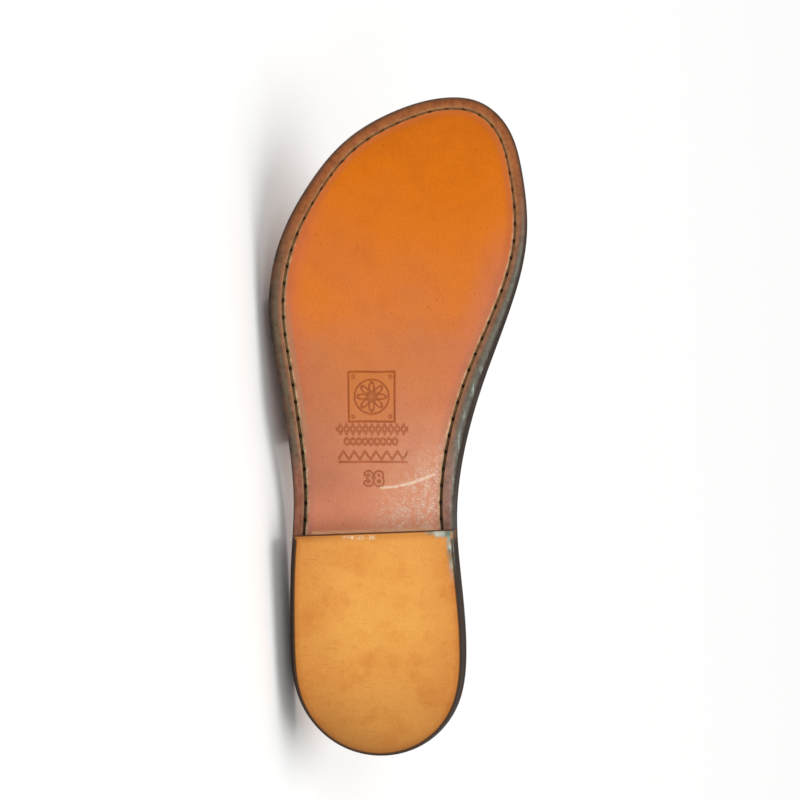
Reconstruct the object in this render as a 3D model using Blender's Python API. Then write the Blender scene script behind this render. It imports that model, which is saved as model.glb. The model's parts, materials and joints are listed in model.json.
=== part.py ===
# A right leather slide sandal, size 38, lying on its outer side.
# It is modelled standing on its sole, heel back at the origin, toe towards +X,
# inner (big toe) side towards +Y, and then laid down by one empty that carries every piece.
# Lengths are in metres.

import math

import bmesh
import bpy
import numpy as np
from mathutils import Matrix, Vector

# Driving dimensions of the sole.
sole_length = 0.256
ball_width = 0.0958
outsole_thickness = 0.004
insole_thickness = 0.004
heel_height = 0.009
toe_spring = 0.005
layer_gap = 0.0003

# The outsole's edge and its sewn channel.
edge_bevel = 0.0026
bevel_height = 0.0024
stitch_ledge = 0.0022
channel_width = 0.0014
channel_depth = 0.0008
insole_edge_round = 0.0009

# The heel lift, in from the sole's edge at its top and further in at its tread.
heel_setback = 0.0003
heel_taper = 0.0013
heel_rim_round = 0.0005

# The strap: one wide band lasted round the insole's edge and tucked under it.
strap_wall = 0.002
strap_setback = 0.001
strap_tuck = 0.013
tuck_bend = 0.0015
notch_clearance = 0.0003
instep_height = 0.060

# How finely the curves are drawn.
outline_points = 112
cap_columns = 4
strap_stations = 13
arch_steps = 30
bend_steps = 4
bevel_steps = 3

# The sole's outline as seen from below, from the heel's back round the inner side to the toe
# and home along the outer side.
# place, along (share of sole_length), across (share of ball_width), bevel (share of edge_bevel)
sole_outline = (
    ("heel back", 0.000, 0.000, 0.6),
    ("heel round in", 0.018, 0.178, 0.6),
    ("heel corner in", 0.073, 0.310, 0.6),
    ("heel side in", 0.161, 0.349, 0.7),
    ("seat in", 0.267, 0.329, 0.9),
    ("waist in", 0.367, 0.311, 1.5),
    ("shank in", 0.464, 0.341, 1.8),
    ("arch in", 0.569, 0.419, 1.8),
    ("ball back in", 0.679, 0.526, 1.3),
    ("ball in", 0.783, 0.592, 1.0),
    ("ball front in", 0.886, 0.574, 1.0),
    ("great toe", 0.958, 0.510, 1.0),
    ("toe corner", 0.993, 0.405, 1.0),
    ("toe tip", 1.000, 0.255, 1.0),
    ("toe shoulder", 0.982, 0.073, 1.1),
    ("second toes", 0.935, -0.138, 1.1),
    ("little toe", 0.863, -0.296, 1.2),
    ("ball front out", 0.783, -0.404, 1.3),
    ("ball out", 0.679, -0.448, 1.3),
    ("ball back out", 0.589, -0.416, 1.2),
    ("shank out", 0.486, -0.374, 1.1),
    ("waist out", 0.383, -0.355, 1.0),
    ("seat out", 0.295, -0.366, 0.8),
    ("heel side out", 0.183, -0.368, 0.6),
    ("heel corner out", 0.081, -0.327, 0.6),
    ("heel round out", 0.019, -0.182, 0.6),
)
toe_row = 13

# Places along the sole, each a share of sole_length: the heel's straight front edge, then where
# the tread leaves the heel's level, meets the floor and lifts again at the toe.
stations = {
    "breast": 0.341,
    "waist": 0.36,
    "forefoot": 0.56,
    "toe spring": 0.80,
}

# The breast's slant, as its rise along the sole over its run across, and the least share of
# the resting face's normal that points to the outer side.
slants = {
    "breast": 0.0384,
    "lying side": 0.5,
}

# The strap's edges, as stations (shares of sole_length) on the two sides and over the ridge.
# place, rear edge, front edge
strap_edges = (
    ("outer side", 0.470, 0.697),
    ("ridge", 0.500, 0.752),
    ("inner side", 0.503, 0.768),
)

# The last inside the strap.
# station, height (share of instep_height), ridge (share of the width, from the outer side),
# outer and inner fullness (2 is an ellipse, more is squarer)
last_sections = (
    (0.42, 1.03, 0.55, 2.05, 2.15),
    (0.50, 0.93, 0.57, 2.10, 2.20),
    (0.60, 0.80, 0.59, 2.15, 2.30),
    (0.70, 0.69, 0.60, 2.20, 2.40),
    (0.80, 0.60, 0.60, 2.25, 2.45),
)


def closed_curve(rows, steps):
    # A periodic cubic spline through the rows, with each stretch cut into the given steps.
    points = np.array(rows, float)
    count = len(points)
    chord = np.linalg.norm(np.roll(points[:, :2], -1, axis=0) - points[:, :2], axis=1)
    system = np.zeros((count, count))
    right = np.zeros_like(points)
    for i in range(count):
        after = (i + 1) % count
        system[i, i - 1] = chord[i - 1]
        system[i, i] = 2 * (chord[i - 1] + chord[i])
        system[i, after] = chord[i]
        rise = (points[after] - points[i]) / chord[i]
        fall = (points[i] - points[i - 1]) / chord[i - 1]
        right[i] = 6 * (rise - fall)
    bend = np.linalg.solve(system, right)
    curve = []
    for i in range(count):
        after = (i + 1) % count
        for step in range(steps):
            t = step / steps
            straight = (1 - t) * points[i] + t * points[after]
            sag = chord[i] ** 2 / 6 * t * (1 - t) * ((2 - t) * bend[i] + (1 + t) * bend[after])
            curve.append(straight - sag)
    return np.array(curve)


def spaced(curve, count):
    # The open curve again, as count steps of equal length.
    lengths = np.linalg.norm(np.diff(curve[:, :2], axis=0), axis=1)
    travelled = np.concatenate([[0], np.cumsum(lengths)])
    wanted = np.linspace(0, travelled[-1], count + 1)
    return np.stack([np.interp(wanted, travelled, curve[:, k]) for k in range(curve.shape[1])], axis=1)


def sole_curve():
    # Columns x, y and bevel width, clockwise seen from above, from the heel's back.
    # The toe tip is the middle point, so point j faces point -j across the sole.
    rows = [
        (along * sole_length, across * ball_width, bevel * edge_bevel)
        for place, along, across, bevel in sole_outline
    ]
    steps = 24
    fine = closed_curve(rows, steps)
    toe = toe_row * steps
    half = outline_points // 2
    inner = spaced(fine[: toe + 1], half)
    outer = spaced(np.vstack([fine[toe:], fine[:1]]), half)
    return np.vstack([inner[:-1], outer[:-1]])


def inset(curve, widths):
    # The closed curve moved inwards, square to itself, by a width at each point.
    ahead = np.roll(curve[:, :2], -1, axis=0) - np.roll(curve[:, :2], 1, axis=0)
    ahead /= np.linalg.norm(ahead, axis=1)[:, None]
    inward = np.stack([ahead[:, 1], -ahead[:, 0]], axis=1)
    return curve[:, :2] + inward * np.broadcast_to(widths, len(curve))[:, None]


def tread_height(x):
    # Height of the outsole's underside above the floor, before the heel's lift is under it.
    station = np.asarray(x) / sole_length
    waist, forefoot, spring = (stations[name] for name in ("waist", "forefoot", "toe spring"))
    down = np.clip((station - waist) / (forefoot - waist), 0, 1)
    up = np.clip((station - spring) / (1 - spring), 0, 1)
    return heel_height * (1 - down * down * (3 - 2 * down)) + toe_spring * up * up


def outsole_top(x):
    return tread_height(x) + outsole_thickness


def insole_top(x):
    return outsole_top(x) + layer_gap + insole_thickness


def lifted(flat, height_of, rise=0.0):
    # Points of a flat ring raised onto a height profile.
    return [Vector((x, y, float(height_of(x)) + rise)) for x, y in flat]


def cap(bm, ring, height_of, rise, flip):
    # Closes a ring of vertices with columns from side to side that follow the height profile.
    half = len(ring) // 2
    rows = [[ring[0]] * (cap_columns + 1)]
    for j in range(1, half):
        left, right = ring[j], ring[-j]
        row = [left]
        for k in range(1, cap_columns):
            spot = left.co.lerp(right.co, k / cap_columns)
            spot.z = float(height_of(spot.x)) + rise
            row.append(bm.verts.new(spot))
        rows.append(row + [right])
    rows.append([ring[half]] * (cap_columns + 1))
    for near, far in zip(rows, rows[1:]):
        for k in range(cap_columns):
            corners = [near[k], near[k + 1], far[k + 1], far[k]]
            corners = list(dict.fromkeys(corners))
            bm.faces.new(corners[::-1] if flip else corners)


def plate(name, rings, bottom, top):
    # A closed slab from rings that run from its underside up its edge to its top.
    bm = bmesh.new()
    loops = [[bm.verts.new(point) for point in ring] for ring in rings]
    for low, high in zip(loops, loops[1:]):
        for j in range(len(low)):
            after = (j + 1) % len(low)
            bm.faces.new([low[j], low[after], high[after], high[j]])
    cap(bm, loops[0], *bottom, flip=False)
    cap(bm, loops[-1], *top, flip=True)
    return finished(name, bm)


def finished(name, bm):
    bmesh.ops.recalc_face_normals(bm, faces=bm.faces)
    mesh = bpy.data.meshes.new(name)
    bm.to_mesh(mesh)
    bm.free()
    mesh.shade_smooth()
    mesh.set_sharp_from_angle(angle=math.radians(35))
    piece = bpy.data.objects.new(name, mesh)
    bpy.context.scene.collection.objects.link(piece)
    return piece


def outsole(curve):
    bevel = curve[:, 2]
    channel = bevel + stitch_ledge
    half = channel_width / 2
    rings = [
        lifted(inset(curve, channel + half), tread_height),
        lifted(inset(curve, channel), tread_height, channel_depth),
        lifted(inset(curve, channel - half), tread_height),
    ]
    for step in range(bevel_steps + 1):
        turn = math.pi / 2 * step / bevel_steps
        widths = bevel * (1 - math.sin(turn))
        rings.append(lifted(inset(curve, widths), tread_height, bevel_height * (1 - math.cos(turn))))
    rings.append(lifted(curve[:, :2], outsole_top))
    return plate("outsole", rings, (tread_height, 0.0), (outsole_top, 0.0))


def insole(curve):
    rings = [lifted(curve[:, :2], outsole_top, layer_gap)]
    for step in range(bevel_steps):
        turn = math.pi / 2 * step / (bevel_steps - 1)
        widths = insole_edge_round * (1 - math.cos(turn))
        drop = insole_edge_round * (1 - math.sin(turn))
        rings.append(lifted(inset(curve, widths), insole_top, -drop))
    return plate("insole", rings, (outsole_top, layer_gap), (insole_top, 0.0))


def breast_x(y):
    # The heel's straight front edge, square to the heel's own centre line.
    return stations["breast"] * sole_length + y * slants["breast"]


def heel_ring(curve, width, height):
    # The sole's outline behind the breast, closed by the breast's straight line.
    flat = inset(curve, width)
    behind = flat[:, 0] < breast_x(flat[:, 1])
    half = len(flat) // 2
    inner = [tuple(p) for p in flat[:half][behind[:half]]]
    outer = [tuple(p) for p in flat[half:][behind[half:]]]

    def corner(side):
        # Where a side of the outline, listed by growing x, crosses the breast.
        xs = np.array([p[0] for p in side])
        ys = np.array([p[1] for p in side])
        y = ys[-1]
        for _ in range(6):
            y = np.interp(breast_x(y), xs, ys)
        return (breast_x(y), y)

    front = corner(flat[:half])
    back = corner(flat[half:][::-1])
    breast = [tuple(np.array(front) * (1 - t) + np.array(back) * t) for t in (0.25, 0.5, 0.75)]
    ring = inner + [front] + breast + [back] + outer
    return [Vector((x, y, height)) for x, y in ring]


def heel(curve):
    # A leather lift whose tread is a little smaller than its seat, with its rim rounded off.
    seat = heel_height - layer_gap
    shape = (
        (heel_setback + heel_taper + heel_rim_round, 0.0),
        (heel_setback + heel_taper, heel_rim_round),
        (heel_setback, seat),
    )
    bm = bmesh.new()
    loops = [[bm.verts.new(p) for p in heel_ring(curve, width, height)] for width, height in shape]
    for low, high in zip(loops, loops[1:]):
        for j in range(len(low)):
            after = (j + 1) % len(low)
            bm.faces.new([low[j], low[after], high[after], high[j]])
    bm.faces.new(loops[0][::-1])
    bm.faces.new(loops[-1])
    return finished("heel_lift", bm)


def side_lines(curve):
    # The sole's two sides as y over x, the inner one first.
    half = len(curve) // 2
    inner = curve[: half + 1]
    outer = np.vstack([curve[half:], curve[:1]])[::-1]
    return inner, outer


def section(curve, station, tuck):
    # The strap's inner face across the sole at a station, from the outer tuck over the last
    # to the inner tuck.
    x = station * sole_length
    inner_side, outer_side = side_lines(curve)
    edge_in = strap_setback + strap_wall
    inner_y = np.interp(x, inner_side[:, 0], inner_side[:, 1]) - edge_in
    outer_y = np.interp(x, outer_side[:, 0], outer_side[:, 1]) + edge_in
    rows = np.array(last_sections)
    share, ridge, outer_full, inner_full = (
        np.interp(station, rows[:, 0], rows[:, k]) for k in range(1, 5)
    )
    ridge_y = outer_y + ridge * (inner_y - outer_y)
    floor = float(insole_top(x))
    height = share * instep_height
    low = float(outsole_top(x)) + layer_gap + strap_wall

    def tucked(edge_y, towards):
        # From the tuck's free end to the wall's foot. towards is the way in from this side.
        spots = [(edge_y + towards * tuck, low)]
        spots.append((edge_y + towards * (tuck + tuck_bend) / 2, low))
        for step in range(bend_steps + 1):
            turn = math.pi / 2 * step / bend_steps
            spots.append(
                (
                    edge_y + towards * tuck_bend * (1 - math.sin(turn)),
                    low + tuck_bend * (1 - math.cos(turn)),
                )
            )
        return spots

    path = tucked(outer_y, 1)
    for step in range(arch_steps + 1):
        angle = math.pi * step / arch_steps
        side = math.cos(angle)
        full = outer_full if side > 0 else inner_full
        reach = ridge_y - outer_y if side > 0 else inner_y - ridge_y
        y = ridge_y - math.copysign(abs(side) ** (2 / full), side) * reach
        path.append((y, floor + height * math.sin(angle) ** (2 / full)))
    path += tucked(inner_y, -1)[::-1]
    return path


def edge_station(column, across):
    # A strap edge's station at a share of the way from the outer to the inner side.
    low, middle, high = (row[column] for row in strap_edges)
    if across < 0.5:
        return low + (middle - low) * math.sin(math.pi * across)
    return high + (middle - high) * math.sin(math.pi * across)


def strap_shell(name, curve, inward, outward, margin):
    # A shell about the strap's inner face, from inward inside it to outward outside it,
    # with margin added at its edges and its tucks' ends.
    spots = len(section(curve, strap_edges[0][1], strap_tuck))
    foot = bend_steps + 3
    reach = margin / sole_length
    inner_face = np.zeros((strap_stations, spots, 3))
    for j in range(spots):
        across = min(max((j - foot) / (spots - 1 - 2 * foot), 0), 1)
        rear = edge_station(1, across) - reach
        front = edge_station(2, across) + reach
        for i in range(strap_stations):
            station = rear + (front - rear) * i / (strap_stations - 1)
            y, z = section(curve, station, strap_tuck + margin)[j]
            inner_face[i, j] = (station * sole_length, y, z)
    along = np.gradient(inner_face, axis=0)
    over = np.gradient(inner_face, axis=1)
    out = np.cross(over, along)
    out /= np.linalg.norm(out, axis=2)[:, :, None]
    if out[strap_stations // 2, spots // 2, 2] < 0:
        out = -out
    bm = bmesh.new()
    near = [[bm.verts.new(p) for p in row] for row in inner_face - out * inward]
    far = [[bm.verts.new(p) for p in row] for row in inner_face + out * outward]
    last_i, last_j = strap_stations - 1, spots - 1
    for i in range(last_i):
        for j in range(last_j):
            for face in (near, far):
                bm.faces.new([face[i][j], face[i + 1][j], face[i + 1][j + 1], face[i][j + 1]])
        for j in (0, last_j):
            bm.faces.new([near[i][j], near[i + 1][j], far[i + 1][j], far[i][j]])
    for j in range(last_j):
        for i in (0, last_i):
            bm.faces.new([near[i][j], near[i][j + 1], far[i][j + 1], far[i][j]])
    return finished(name, bm)


def cut(piece, cutter):
    # Takes the cutter out of the piece and throws the cutter away.
    modifier = piece.modifiers.new("notch", "BOOLEAN")
    modifier.operation = "DIFFERENCE"
    modifier.object = cutter
    graph = bpy.context.evaluated_depsgraph_get()
    mesh = bpy.data.meshes.new_from_object(piece.evaluated_get(graph))
    piece.modifiers.clear()
    piece.data = mesh
    bpy.data.objects.remove(cutter)


def leather(name, colour, roughness):
    material = bpy.data.materials.new(name)
    material.use_nodes = True
    shader = material.node_tree.nodes["Principled BSDF"]
    shader.inputs["Base Color"].default_value = (*colour, 1)
    shader.inputs["Roughness"].default_value = roughness
    shader.inputs["Metallic"].default_value = 0.0
    return material


def coloured(piece, material):
    piece.data.materials.clear()
    piece.data.materials.append(material)


def corners_of(pieces):
    return [vertex.co.copy() for piece in pieces for vertex in piece.data.vertices]


def centre_of_mass(pieces):
    # All the leather has one density, so this is the centre of the volume.
    volume, moment = 0.0, Vector()
    for piece in pieces:
        mesh = piece.data
        mesh.calc_loop_triangles()
        for triangle in mesh.loop_triangles:
            a, b, c = (mesh.vertices[k].co for k in triangle.vertices)
            part = a.dot(b.cross(c)) / 6
            volume += part
            moment += part * (a + b + c) / 4
    return moment / volume


def steadiness(corners, normal, point):
    # How far inside a face a point above it stands, negative if it is over its edge.
    sides = zip(corners, corners[1:] + corners[:1])
    return min((end - start).normalized().cross(point - start).dot(normal) for start, end in sides)


def resting_face(pieces, upper):
    # The outward normal of the face that the sandal lies on: of the convex hull's faces on the
    # outer side that touch the upper, the one with the centre of mass most safely above it.
    bm = bmesh.new()
    for spot in corners_of(pieces):
        bm.verts.new(spot)
    touching = [bm.verts.new(spot) for spot in corners_of([upper])]
    bmesh.ops.convex_hull(bm, input=bm.verts, use_existing_faces=False)
    touching = {vertex for vertex in touching if vertex.is_valid}
    centre = centre_of_mass(pieces + [upper])
    best, best_margin = None, 0.0
    for face in bm.faces:
        face.normal_update()
        normal = face.normal.copy()
        corners = [vertex.co.copy() for vertex in face.verts]
        if normal.dot(corners[0] - centre) < 0:
            normal = -normal
            corners.reverse()
        if normal.y > -slants["lying side"] or touching.isdisjoint(face.verts):
            continue
        margin = steadiness(corners, normal, centre)
        if margin > best_margin:
            best, best_margin = normal, margin
    bm.free()
    return best


def lay_down(pieces, upper):
    # Turns the resting face to the floor with the toe towards -X and the sole towards -Y,
    # and puts the origin under the middle of the laid sandal's box.
    down = resting_face(pieces, upper)
    pieces = pieces + [upper]
    up = -down
    toe_to = Vector((1, 0, 0))
    toe_to = (toe_to - toe_to.dot(up) * up).normalized()
    back = up.cross(-toe_to)
    turn = Matrix((-toe_to, back, up)).to_4x4()
    spots = np.array([turn @ spot for spot in corners_of(pieces)])
    low, high = spots.min(axis=0), spots.max(axis=0)
    home = Vector((-(low[0] + high[0]) / 2, -(low[1] + high[1]) / 2, -low[2]))
    sandal = bpy.data.objects.new("sandal", None)
    bpy.context.scene.collection.objects.link(sandal)
    sandal.matrix_world = Matrix.Translation(home) @ turn
    for piece in pieces:
        piece.parent = sandal


def main():
    for thing in list(bpy.data.objects):
        bpy.data.objects.remove(thing)
    curve = sole_curve()
    sole = outsole(curve)
    bed = insole(curve)
    lift = heel(curve)
    band = strap_shell("strap", curve, 0.0, strap_wall, 0.0)
    through_edge = strap_wall + 3 * strap_setback
    notch = strap_shell("notch_cutter", curve, notch_clearance, through_edge, notch_clearance)
    cut(bed, notch)
    coloured(sole, leather("cognac sole leather", (0.55, 0.19, 0.05), 0.35))
    coloured(bed, leather("tan footbed leather", (0.46, 0.23, 0.10), 0.5))
    coloured(lift, leather("natural heel leather", (0.72, 0.40, 0.15), 0.6))
    coloured(band, leather("brown strap leather", (0.30, 0.12, 0.05), 0.45))
    lay_down([sole, bed, lift], band)


main()
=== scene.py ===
# Finish of the right leather slide sandal: sewn cognac sole, natural heel, footbed and band.
# Every piece is built standing on its sole, heel back at the origin, toe towards +X and the
# inner side towards +Y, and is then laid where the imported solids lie. Lengths are in metres.
import json
import math

import bpy
import numpy as np
from mathutils import Matrix, Vector, kdtree


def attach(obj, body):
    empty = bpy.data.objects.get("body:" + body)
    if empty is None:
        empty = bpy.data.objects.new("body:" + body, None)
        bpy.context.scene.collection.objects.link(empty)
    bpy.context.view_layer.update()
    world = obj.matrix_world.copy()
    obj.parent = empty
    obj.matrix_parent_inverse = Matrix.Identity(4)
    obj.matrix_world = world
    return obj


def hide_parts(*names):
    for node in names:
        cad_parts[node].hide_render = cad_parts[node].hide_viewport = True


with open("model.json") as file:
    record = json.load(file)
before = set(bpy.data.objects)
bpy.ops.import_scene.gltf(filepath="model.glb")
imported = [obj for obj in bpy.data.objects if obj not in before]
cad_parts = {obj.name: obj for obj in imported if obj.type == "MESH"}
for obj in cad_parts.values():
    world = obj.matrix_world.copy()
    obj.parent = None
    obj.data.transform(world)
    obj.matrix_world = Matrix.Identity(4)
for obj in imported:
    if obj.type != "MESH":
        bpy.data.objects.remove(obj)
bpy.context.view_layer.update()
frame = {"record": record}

mm = 0.001

# Sizes shared by all the pieces
sandal = {
    "length": 0.256,
    "ballWidth": 0.0958,
    "outsoleThickness": 0.004,
    "insoleThickness": 0.004,
    "layerGap": 0.0003,
    "heelHeight": 0.009,
    "toeSpring": 0.005,
    "edgeBevel": 0.0026,
    "bevelHeight": 0.0024,
    "stitchLedge": 0.0022,
    "waistAt": 0.36,        # shares of the length: tread leaves the heel's level
    "forefootAt": 0.56,     # tread meets the floor
    "springAt": 0.80,       # toe begins to lift
    "stitchPitch": 0.0066,
    "heelTreadSpot": (0.045, 0.0),
    "forefootTreadSpot": (0.175, 0.008),
}

# The sole's outline from the heel's back round the inner side to the toe and home again:
# share of the length, share of the ball width, share of the bevel
soleOutline = (
    (0.000, 0.000, 0.6),    # heel back
    (0.018, 0.178, 0.6),
    (0.073, 0.310, 0.6),
    (0.161, 0.349, 0.7),
    (0.267, 0.329, 0.9),
    (0.367, 0.311, 1.5),    # waist, inner side
    (0.464, 0.341, 1.8),
    (0.569, 0.419, 1.8),
    (0.679, 0.526, 1.3),
    (0.783, 0.592, 1.0),    # ball, inner side
    (0.886, 0.574, 1.0),
    (0.958, 0.510, 1.0),
    (0.993, 0.405, 1.0),
    (1.000, 0.255, 1.0),    # toe tip
    (0.982, 0.073, 1.1),
    (0.935, -0.138, 1.1),
    (0.863, -0.296, 1.2),
    (0.783, -0.404, 1.3),
    (0.679, -0.448, 1.3),   # ball, outer side
    (0.589, -0.416, 1.2),
    (0.486, -0.374, 1.1),
    (0.383, -0.355, 1.0),   # waist, outer side
    (0.295, -0.366, 0.8),
    (0.183, -0.368, 0.6),
    (0.081, -0.327, 0.6),
    (0.019, -0.182, 0.6),
)
toeRow = 13                 # the toe tip's row
fineSteps = 60              # points worked out between two rows


# Curves and surfaces

def closedCurve(rows, steps):
    # periodic cubic spline through the rows
    points = np.array(rows, float)
    count = len(points)
    chord = np.linalg.norm(np.roll(points[:, :2], -1, axis=0) - points[:, :2], axis=1)
    system = np.zeros((count, count))
    right = np.zeros_like(points)
    for i in range(count):
        after = (i + 1) % count
        system[i, i - 1] = chord[i - 1]
        system[i, i] = 2 * (chord[i - 1] + chord[i])
        system[i, after] = chord[i]
        rise = (points[after] - points[i]) / chord[i]
        fall = (points[i] - points[i - 1]) / chord[i - 1]
        right[i] = 6 * (rise - fall)
    bend = np.linalg.solve(system, right)
    curve = []
    for i in range(count):
        after = (i + 1) % count
        t = (np.arange(steps) / steps)[:, None]
        straight = (1 - t) * points[i] + t * points[after]
        sag = chord[i] ** 2 / 6 * t * (1 - t) * ((2 - t) * bend[i] + (1 + t) * bend[after])
        curve.append(straight - sag)
    return np.vstack(curve)


def travelAlong(line, weights=1.0):
    # how far each point lies along an open line, each step counted by its weight
    return np.concatenate([[0], np.cumsum(np.linalg.norm(np.diff(line, axis=0), axis=1) * weights)])


def respaced(curve, count, weight=None):
    # the open curve cut into count steps, shorter where the weight is larger
    weights = 1.0 if weight is None else (weight(curve[1:]) + weight(curve[:-1])) / 2
    travelled = travelAlong(curve[:, :2], weights)
    wanted = np.linspace(0, travelled[-1], count + 1)
    return np.stack([np.interp(wanted, travelled, curve[:, k]) for k in range(curve.shape[1])], axis=1)


fineOutline = closedCurve(
    [(a * sandal["length"], b * sandal["ballWidth"], c * sandal["edgeBevel"]) for a, b, c in soleOutline],
    fineSteps,
)
innerSide = fineOutline[: toeRow * fineSteps + 1]
outerSide = np.vstack([fineOutline[toeRow * fineSteps:], fineOutline[:1]])


def soleRing(count, weight=None):
    # count points, of which j on the inner side faces count - j on the outer side
    inner = respaced(innerSide, count // 2, weight)
    outer = respaced(outerSide, count // 2, weight)
    return np.vstack([inner[:-1], outer[:-1]])


def inset(curve, widths):
    # the closed curve moved inwards by a width at each point
    ahead = np.roll(curve[:, :2], -1, axis=0) - np.roll(curve[:, :2], 1, axis=0)
    ahead /= np.linalg.norm(ahead, axis=1)[:, None]
    inward = np.stack([ahead[:, 1], -ahead[:, 0]], axis=1)
    return curve[:, :2] + inward * np.broadcast_to(widths, len(curve))[:, None]


fineRing = soleRing(2400)


def smooth(value, low, high):
    # 0 below low, 1 above high and a soft step between
    t = np.clip((value - low) / (high - low), 0, 1)
    return t * t * (3 - 2 * t)


def window(value, low, lowFull, highFull, high):
    # 1 between the two full marks, fading to 0 outside them
    return smooth(value, low, lowFull) * (1 - smooth(value, highFull, high))


def hump(distance, width):
    # 1 at no distance, fading over the width
    return np.exp(-(distance / width) ** 2)


def treadHeight(x):
    station = np.asarray(x) / sandal["length"]
    down = smooth(station, sandal["waistAt"], sandal["forefootAt"])
    up = np.clip((station - sandal["springAt"]) / (1 - sandal["springAt"]), 0, 1)
    return sandal["heelHeight"] * (1 - down) + sandal["toeSpring"] * up * up


def outsoleTop(x):
    return treadHeight(x) + sandal["outsoleThickness"]


def insoleBottom(x):
    return outsoleTop(x) + sandal["layerGap"]


def insoleTop(x):
    return insoleBottom(x) + sandal["insoleThickness"]


def waviness(x, y, size, height, seed):
    # a slow unevenness, the sum of a few crossing waves
    total = 0.0
    for k in range(4):
        turn = seed * 1.7 + k * 2.399
        wave = (x * math.cos(turn) + y * math.sin(turn)) * (1 + 0.35 * k) / size
        total = total + np.sin(2 * math.pi * wave + seed * 3.1 + k * 1.3)
    return total * height / 4


def wavy(x, y, waves):
    # waves are rows of size, height and seed
    return sum(waviness(x, y, *wave) for wave in waves)


def nearestOf(spots):
    # a function that gives, for points x and y, the nearest spot's number and its distance
    tree = kdtree.KDTree(len(spots))
    for k, spot in enumerate(spots):
        tree.insert((spot[0], spot[1], 0), k)
    tree.balance()

    def find(x, y):
        found = [tree.find((px, py, 0))[1:] for px, py in zip(x, y)]
        return tuple(np.array(column) for column in zip(*found))

    return find


def setValues(mesh, values):
    # named values at a mesh's points, for its material to read
    for key, amounts in values.items():
        layer = mesh.attributes.new(key, "FLOAT", "POINT")
        layer.data.foreach_set("value", np.asarray(amounts, np.float32))


def smoothShaded(mesh, sharp):
    mesh.shade_smooth()
    mesh.set_sharp_from_angle(angle=math.radians(sharp))


def addObject(name, data):
    thing = bpy.data.objects.new(name, data)
    bpy.context.scene.collection.objects.link(thing)
    return thing


def makePiece(name, points, faces, values=None, sharp=35):
    # a mesh from points in the standing sandal's frame
    mesh = bpy.data.meshes.new(name)
    mesh.from_pydata([tuple(p) for p in points], [], faces)
    mesh.validate()
    mesh.update()
    smoothShaded(mesh, sharp)
    setValues(mesh, values or {})
    piece = addObject(name, mesh)
    piece.matrix_world = layingDown
    return piece


def ringFaces(rings, count):
    # strips of faces from each ring of points to the next
    around = np.arange(count)
    after = (around + 1) % count
    faces = []
    for low in range(0, (rings - 1) * count, count):
        high = low + count
        faces += np.stack([low + around, high + around, high + after, low + after], axis=1).tolist()
    return faces


def gridFaces(index, flip=False):
    # faces over a grid of point numbers, some of which may coincide
    faces = []
    for row, ahead in zip(index.tolist(), index[1:].tolist()):
        for k in range(len(row) - 1):
            corners = list(dict.fromkeys((row[k], row[k + 1], ahead[k + 1], ahead[k])))
            faces.append(corners[::-1] if flip else corners)
    return faces


def acrossGrid(inner, outer, shares):
    # points across the sole, at shares of the way from the inner line to the outer one
    shares = np.asarray(shares)[None, :, None]
    return (inner[:, None, :] * (1 - shares) + outer[:, None, :] * shares).reshape(-1, 2)


def plate(rings, lowCap, highCap):
    # A closed slab. rings are (points, heights) from the underside's rim round the edge to the
    # top's rim, and a cap is (column shares, height function). Returns the points, the faces
    # and each point's ring, with -1 on the underside's field and -2 on the top's.
    count = len(rings[0][0])
    half = count // 2
    points = [np.column_stack([xy, z]) for xy, z in rings]
    ringOf = [np.full(count, k) for k in range(len(rings))]
    faces = ringFaces(len(rings), count)
    used = len(rings) * count
    for place, (shares, heightOf), mark in ((0, lowCap, -1), (len(rings) - 1, highCap, -2)):
        xy = rings[place][0]
        flat = acrossGrid(xy[1:half], xy[-1:half:-1], shares[1:-1])
        points.append(np.column_stack([flat, heightOf(*flat.T)]))
        ringOf.append(np.full(len(flat), mark))
        rim = place * count
        index = np.full((half + 1, len(shares)), rim)
        index[1:half, 0] += np.arange(1, half)
        index[1:half, -1] += count - np.arange(1, half)
        index[1:half, 1:-1] = used + np.arange(len(flat)).reshape(half - 1, -1)
        index[half] += half
        used += len(flat)
        faces += gridFaces(index, place > 0)
    return np.vstack(points), faces, np.concatenate(ringOf)


def rounding(steps):
    # turns of a quarter circle, as shares in and up
    for step in range(steps + 1):
        turn = math.pi / 2 * step / steps
        yield step / steps, 1 - math.sin(turn), 1 - math.cos(turn)


# Where the sandal lies

def layDown():
    # from the standing sandal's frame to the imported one, by the two flat treads
    mounts = {mount["name"]: mount for mount in frame["record"]["mounts"]}
    heel = Vector(mounts["heel_tread"]["pos_m"])
    forefoot = Vector(mounts["forefoot_tread"]["pos_m"])
    up = -Vector(mounts["heel_tread"]["axis"]).normalized()
    reach = forefoot - heel
    reach -= reach.dot(up) * up
    (hx, hy), (fx, fy) = sandal["heelTreadSpot"], sandal["forefootTreadSpot"]
    toe = Matrix.Rotation(-math.atan2(fy - hy, fx - hx), 3, up) @ reach.normalized()
    side = up.cross(toe)
    home = heel - toe * hx - side * hy
    return Matrix.Translation(home) @ Matrix((toe, side, up)).transposed().to_4x4()


layingDown = layDown()
print("sandal laid by its treads, sole facing", [round(-c, 3) for c in layingDown.to_3x3().col[2]])


# Material helpers

def paint(red, green, blue):
    # a colour as seen on a screen, 0 to 255, as the shader wants it
    shares = [c / 255 for c in (red, green, blue)]
    return (*(((c + 0.055) / 1.055) ** 2.4 if c > 0.04 else c / 12.92 for c in shares), 1.0)


def addNode(tree, kind, inputs, **settings):
    node = tree.nodes.new(kind)
    for key, value in settings.items():
        setattr(node, key, value)
    for key, value in inputs.items():
        if isinstance(value, Tone):
            tree.links.new(value.socket, node.inputs[key])
        else:
            node.inputs[key].default_value = value
    return node


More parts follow.
